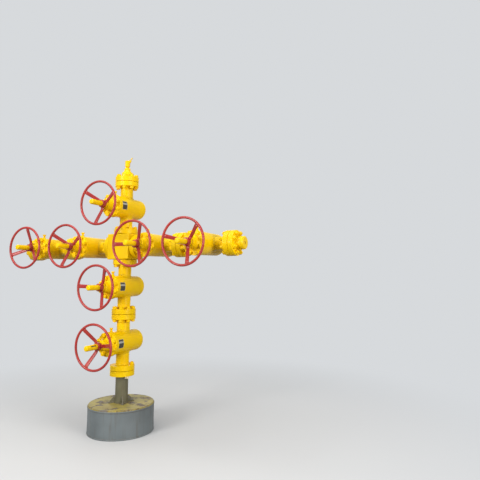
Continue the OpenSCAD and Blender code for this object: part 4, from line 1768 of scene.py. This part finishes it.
@dataclass
class Stand:
    """The drum, its deck plate, the pipe with its gussets and the flange that carries the run."""

    finishes: Finishes
    flange: FlangeSizes = field(default_factory=FlangeSizes)
    chime: float = 0.012
    rim_play: float = 0.0003
    wall_inset: float = 0.003
    pipe_wall: float = 0.012
    seam_r: float = 0.0025
    deck_weld_r: float = 0.004
    pipe_weld_r: float = 0.006
    gusset_weld_r: float = 0.0035
    dent_depth: float = 0.0025
    gusset_count: int = 4
    gusset_t: float = 0.010
    gusset_toe: float = 0.008

    def drum(self) -> None:
        """Makes the drum with its rolled rims and a few dents."""
        low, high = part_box("drum")
        r, h = (high.x - low.x) / 2 - self.rim_play, high.z - low.z
        wall = r - self.wall_inset
        form = solid([
            (r, 0.0, 0.005), (r, self.chime, 0.004), (wall, self.chime + 0.004, 0.002),
            (wall, h * 0.36), (wall, h * 0.5), (wall, h * 0.64),
            (wall, h - self.chime - 0.004, 0.002), (r, h - self.chime, 0.004), (r, h, 0.004),
        ], steps=160)

        def dent(spot: Vector) -> Vector:
            """Pushes the wall in here and there.

            Args:
                spot: A point of the drum.

            Returns:
                Its new place.
            """
            out = spot.to_2d().length
            if out < wall * 0.98:
                return spot
            away = min(spot.z, h - spot.z) / (h / 2)
            depth = self.dent_depth * away * max(noise.noise(spot * 5.0) + 0.1, 0.0)
            return Vector((spot.x * (1 - depth / out), spot.y * (1 - depth / out), spot.z))

        form.moved(dent)
        seam_y, seam_end = wall - 0.0005, h * 0.06
        seam = straight_path(Vector((0.0, seam_y, seam_end)), Vector((0.0, seam_y, h - seam_end)), 40)
        form.add(bead(seam, self.seam_r, False))
        form.piece("drum_shell", self.finishes.drum, "drum")

    def deck(self) -> None:
        """Makes the plate on the drum with the weld that holds it."""
        low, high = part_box("drum_plate")
        r, t = (high.x - low.x) / 2, high.z - low.z
        form = solid([(r, 0.0), (r, t, 0.002), (r * 0.6, t), (r * 0.3, t)], steps=144)
        form.add(bead(circle_path(r + 0.001, 0.0015, 200), self.deck_weld_r, True, 3.0))
        form.placed(shift(z=low.z)).piece("deck_plate", self.finishes.deck, "drum_plate")

    def pipe(self) -> None:
        """Makes the pipe and the welds at its ends."""
        low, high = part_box("stand_pipe")
        r = (high.x - low.x) / 2
        bore = r - self.pipe_wall
        h = high.z - low.z
        form = lathe([(bore, 0.0), (r, 0.0), (r, h * 0.33), (r, h * 0.66), (r, h), (bore, h)], 80, ring=True)
        lift = 0.002
        for height, seed in ((lift, 1.0), (h - lift, 2.0)):
            form.add(bead(circle_path(r + 0.001, height, 110), self.pipe_weld_r, True, seed))
        form.placed(shift(z=low.z)).piece("pedestal_pipe", self.finishes.pipe, "stand_pipe")

    def gussets(self) -> None:
        """Makes the gussets and their welds."""
        low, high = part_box("pipe_gussets")
        pipe_low, pipe_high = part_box("stand_pipe")
        r = (pipe_high.x - pipe_low.x) / 2
        reach = math.hypot(high.x, high.y)
        h = high.z - low.z
        fin = plate([(r - 0.001, 0.0), (reach, 0.0), (reach, self.gusset_toe, 0.001),
                     (r + self.gusset_toe, h, 0.001), (r - 0.001, h)], self.gusset_t, 0.0008)
        end, steps = 0.004, 14
        for side in (-1, 1):
            y = side * self.gusset_t / 2
            level = straight_path(Vector((r + end, y, 0.001)), Vector((reach - end, y, 0.001)), steps)
            upright = straight_path(Vector((r + 0.0005, y, end)), Vector((r + 0.0005, y, h - end)), steps)
            fin.add(bead(level, self.gusset_weld_r, False, side))
            fin.add(bead(upright, self.gusset_weld_r, False, side + 5.0))
        form = Form()
        for k in range(self.gusset_count):
            form.add(fin, shift(z=low.z) @ turn((k + 0.5) * math.tau / self.gusset_count))
        form.piece("welded_gussets", self.finishes.pipe, "pipe_gussets")

    def top_flange(self) -> None:
        """Makes the flange on the pipe, with its unused stud holes open."""
        low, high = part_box("bottom_flange")
        t = high.z - low.z
        flange = replace(self.flange, thickness=t - self.flange.raised_h)
        outline = [(r, t + z, rounding) for r, z, rounding in flange.corners()]
        form = solid(outline, steps=96)
        form = carved(form, stud_holes(-0.01, t + 0.01, range(StudSet().count)))
        form.placed(shift(z=low.z)).piece("pedestal_flange", self.finishes.yellow, "bottom_flange")

    def build(self) -> None:
        """Makes every piece of the stand."""
        self.drum()
        self.deck()
        self.pipe()
        self.gussets()
        self.top_flange()


# Studio


@dataclass(frozen=True)
class Studio:
    """Plain pale floor, soft light and the camera of the photograph's view."""

    backdrop: Rgb = (0.68, 0.70, 0.72)
    floor_color: Rgb = (0.62, 0.63, 0.64)
    floor_shade: Rgb = (0.13, 0.11, 0.09)
    sky: Rgb = (0.96, 0.98, 1.0)
    sky_strength: float = 0.33
    floor_half: float = 60.0
    fade: tuple[float, float] = (1.6, 5.0)
    eye: tuple[float, float, float] = (3.500, -4.387, 1.707)
    look: tuple[float, float, float] = (97.505, 0.317, 24.777)
    lens: float = 34.88
    shift_y: float = -0.0552
    lit_middle: Vector = field(default_factory=lambda: Vector((0.0, 0.0, 1.8)))

    def camera(self) -> None:
        """Sets the camera."""
        data = bpy.data.cameras.new("view")
        data.lens = self.lens
        data.sensor_width = 36.0
        data.shift_y = self.shift_y
        obj = linked("view", data)
        obj.location = self.eye
        obj.rotation_euler = [math.radians(angle) for angle in self.look]
        bpy.context.scene.camera = obj

    def lamp(self, name: str, spot: Vector, size: float, power: float, color: Rgb) -> None:
        """Hangs a square soft light that faces the middle of the object.

        Args:
            name: Name of the light.
            spot: Where it hangs.
            size: Side of its square.
            power: Power in watts.
            color: Colour of its light.
        """
        data = bpy.data.lights.new(name, "AREA")
        data.size = size
        data.energy = power
        data.color = color
        obj = linked(name, data)
        obj.location = spot
        obj.rotation_euler = (self.lit_middle - spot).to_track_quat("-Z", "Y").to_euler()

    def seen(self, sheet: NodeSheet) -> bpy.types.NodeSocket:
        """Tells what the camera, a reflection or glass shows from what lights the object.

        Args:
            sheet: The sheet of the floor or the world.

        Returns:
            1 for what is shown, and 0 for what lights.
        """
        paths = sheet.put("ShaderNodeLightPath").outputs
        mirrored = sheet.most(paths["Is Glossy Ray"], paths["Is Transmission Ray"])
        return sheet.most(paths["Is Camera Ray"], mirrored)

    def floor(self) -> None:
        """Lays the floor, which fades into the backdrop far away and throws less light than it shows."""
        form = Form()
        bmesh.ops.create_grid(form.bm, x_segments=1, y_segments=1, size=self.floor_half)
        mesh = bpy.data.meshes.new("studio_floor")
        form.bm.to_mesh(mesh)
        form.bm.free()
        material, sheet = new_material("studio_floor")
        distance = sheet.put("ShaderNodeVectorMath", {0: sheet.object_place()}, operation="LENGTH")
        seen = self.seen(sheet)
        far = sheet.times(sheet.ramp(distance.outputs["Value"], *self.fade), seen)
        tint = sheet.mix(seen, (*self.floor_shade, 1.0), (*self.floor_color, 1.0))
        ground = sheet.put("ShaderNodeBsdfPrincipled", {"Base Color": tint, "Roughness": 0.8})
        haze = sheet.put("ShaderNodeEmission", {"Color": (*self.backdrop, 1.0), "Strength": 1.0})
        blend = sheet.put("ShaderNodeMixShader", {0: far, 1: ground.outputs[0], 2: haze.outputs[0]})
        sheet.put("ShaderNodeOutputMaterial", {"Surface": blend.outputs[0]})
        mesh.materials.append(material)
        obj = linked("studio_floor", mesh)

    def world(self) -> None:
        """Lights the object from all round and shows a pale backdrop."""
        world = bpy.data.worlds.new("studio")
        bpy.context.scene.world = world
        world.use_nodes = True
        world.node_tree.nodes.clear()
        sheet = NodeSheet(world.node_tree)
        light = sheet.put("ShaderNodeBackground", {"Color": (*self.sky, 1.0), "Strength": self.sky_strength})
        shown = sheet.put("ShaderNodeBackground", {"Color": (*self.backdrop, 1.0), "Strength": 1.0})
        seen = self.seen(sheet)
        blend = sheet.put("ShaderNodeMixShader", {0: seen, 1: light.outputs[0], 2: shown.outputs[0]})
        sheet.put("ShaderNodeOutputWorld", {"Surface": blend.outputs[0]})

    def build(self) -> None:
        """Sets up the studio."""
        bpy.context.scene.view_settings.view_transform = "Standard"
        self.camera()
        self.floor()
        self.world()
        self.lamp("roof_light", Vector((0.0, -2.0, 9.5)), 6.5, 470.0, (1.0, 0.99, 0.96))
        self.lamp("front_light", Vector((-2.3, -10.0, 4.6)), 4.6, 820.0, (1.0, 0.98, 0.95))
        self.lamp("side_light", Vector((9.2, -3.0, 2.9)), 4.5, 580.0, (1.0, 0.95, 0.90))
        self.lamp("back_light", Vector((-6.0, 9.0, 4.0)), 6.0, 100.0, (0.98, 0.99, 1.0))


# Assembly


def joints(finishes: Finishes, valves: Mapping[str, GateValve]) -> list[FlangedJoint | PedestalJoint]:
    """Lists the joints of the run and the wings.

    Args:
        finishes: The finishes.
        valves: The valves by name.

    Returns:
        The joints, each with its place.
    """
    lower, upper, swab = valves["lower_master"], valves["upper_master"], valves["swab"]
    cross_low, cross_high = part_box("cross_block")
    cross_z = (cross_low.z + cross_high.z) / 2

    def across(x: float) -> Matrix:
        """Returns a joint's place on a wing."""
        return shift(x, 0.0, cross_z) @ ALONG_X

    found: list[FlangedJoint | PedestalJoint] = [
        PedestalJoint(shift(z=lower.centre.z - lower.half), finishes),
        FlangedJoint("master_joint", shift(z=upper.centre.z - upper.half), finishes, seed=3),
        FlangedJoint("block_lower_joint", shift(z=cross_low.z), finishes, nuts_above=False, seed=4),
        FlangedJoint("block_upper_joint", shift(z=cross_high.z), finishes, nuts_below=False, seed=5),
        FlangedJoint("cap_joint", shift(z=swab.centre.z + swab.half), finishes, seed=6),
        FlangedJoint("block_right_joint", across(cross_high.x), finishes, nuts_below=False, seed=7),
        FlangedJoint("block_left_joint", across(cross_low.x), finishes, nuts_above=False, seed=8),
    ]
    for side, sign in (("right", 1.0), ("left", -1.0)):
        inner, outer = valves[f"{side}_inner"], valves[f"{side}_outer"]
        middle = inner.centre.x + sign * inner.half
        outlet = outer.centre.x + sign * outer.half
        found.append(FlangedJoint(f"{side}_wing_joint", across(middle), finishes, seed=9))
        found.append(FlangedJoint(f"{side}_outlet_joint", across(outlet), finishes, tip=0.012, seed=10))
    return found


WHEEL_TURNS = {
    "lower_master": 6.5, "upper_master": 56.0, "swab": 24.0, "left_inner": 23.0, "left_outer": 82.0,
    "right_inner": 61.0, "right_outer": 44.0,
}
TAGGED = ("lower_master", "upper_master", "swab")
# Stud holes that stay empty above the pedestal joint, as they count on the lowest valve's flange
OPEN_HOLES = (1, 4, 5, 6, 7)


def main() -> None:
    """Builds the object's pieces in order."""
    logging.basicConfig(level=logging.INFO, format="%(message)s")
    Studio().build()
    finishes = Finishes()
    Stand(finishes).build()
    valves = {
        name: GateValve(name, math.radians(angle), finishes, name in TAGGED,
                        OPEN_HOLES if name == "lower_master" else ())
        for name, angle in WHEEL_TURNS.items()
    }
    for valve in valves.values():
        valve.build()
    CrossBlock(finishes).build()
    TreeCap(finishes).build()
    NeedleValve(finishes).build()
    for side in ("left", "right"):
        OutletFlange(side, finishes).build()
    for joint in joints(finishes, valves):
        joint.build()


if __name__ == "__main__":
    main()
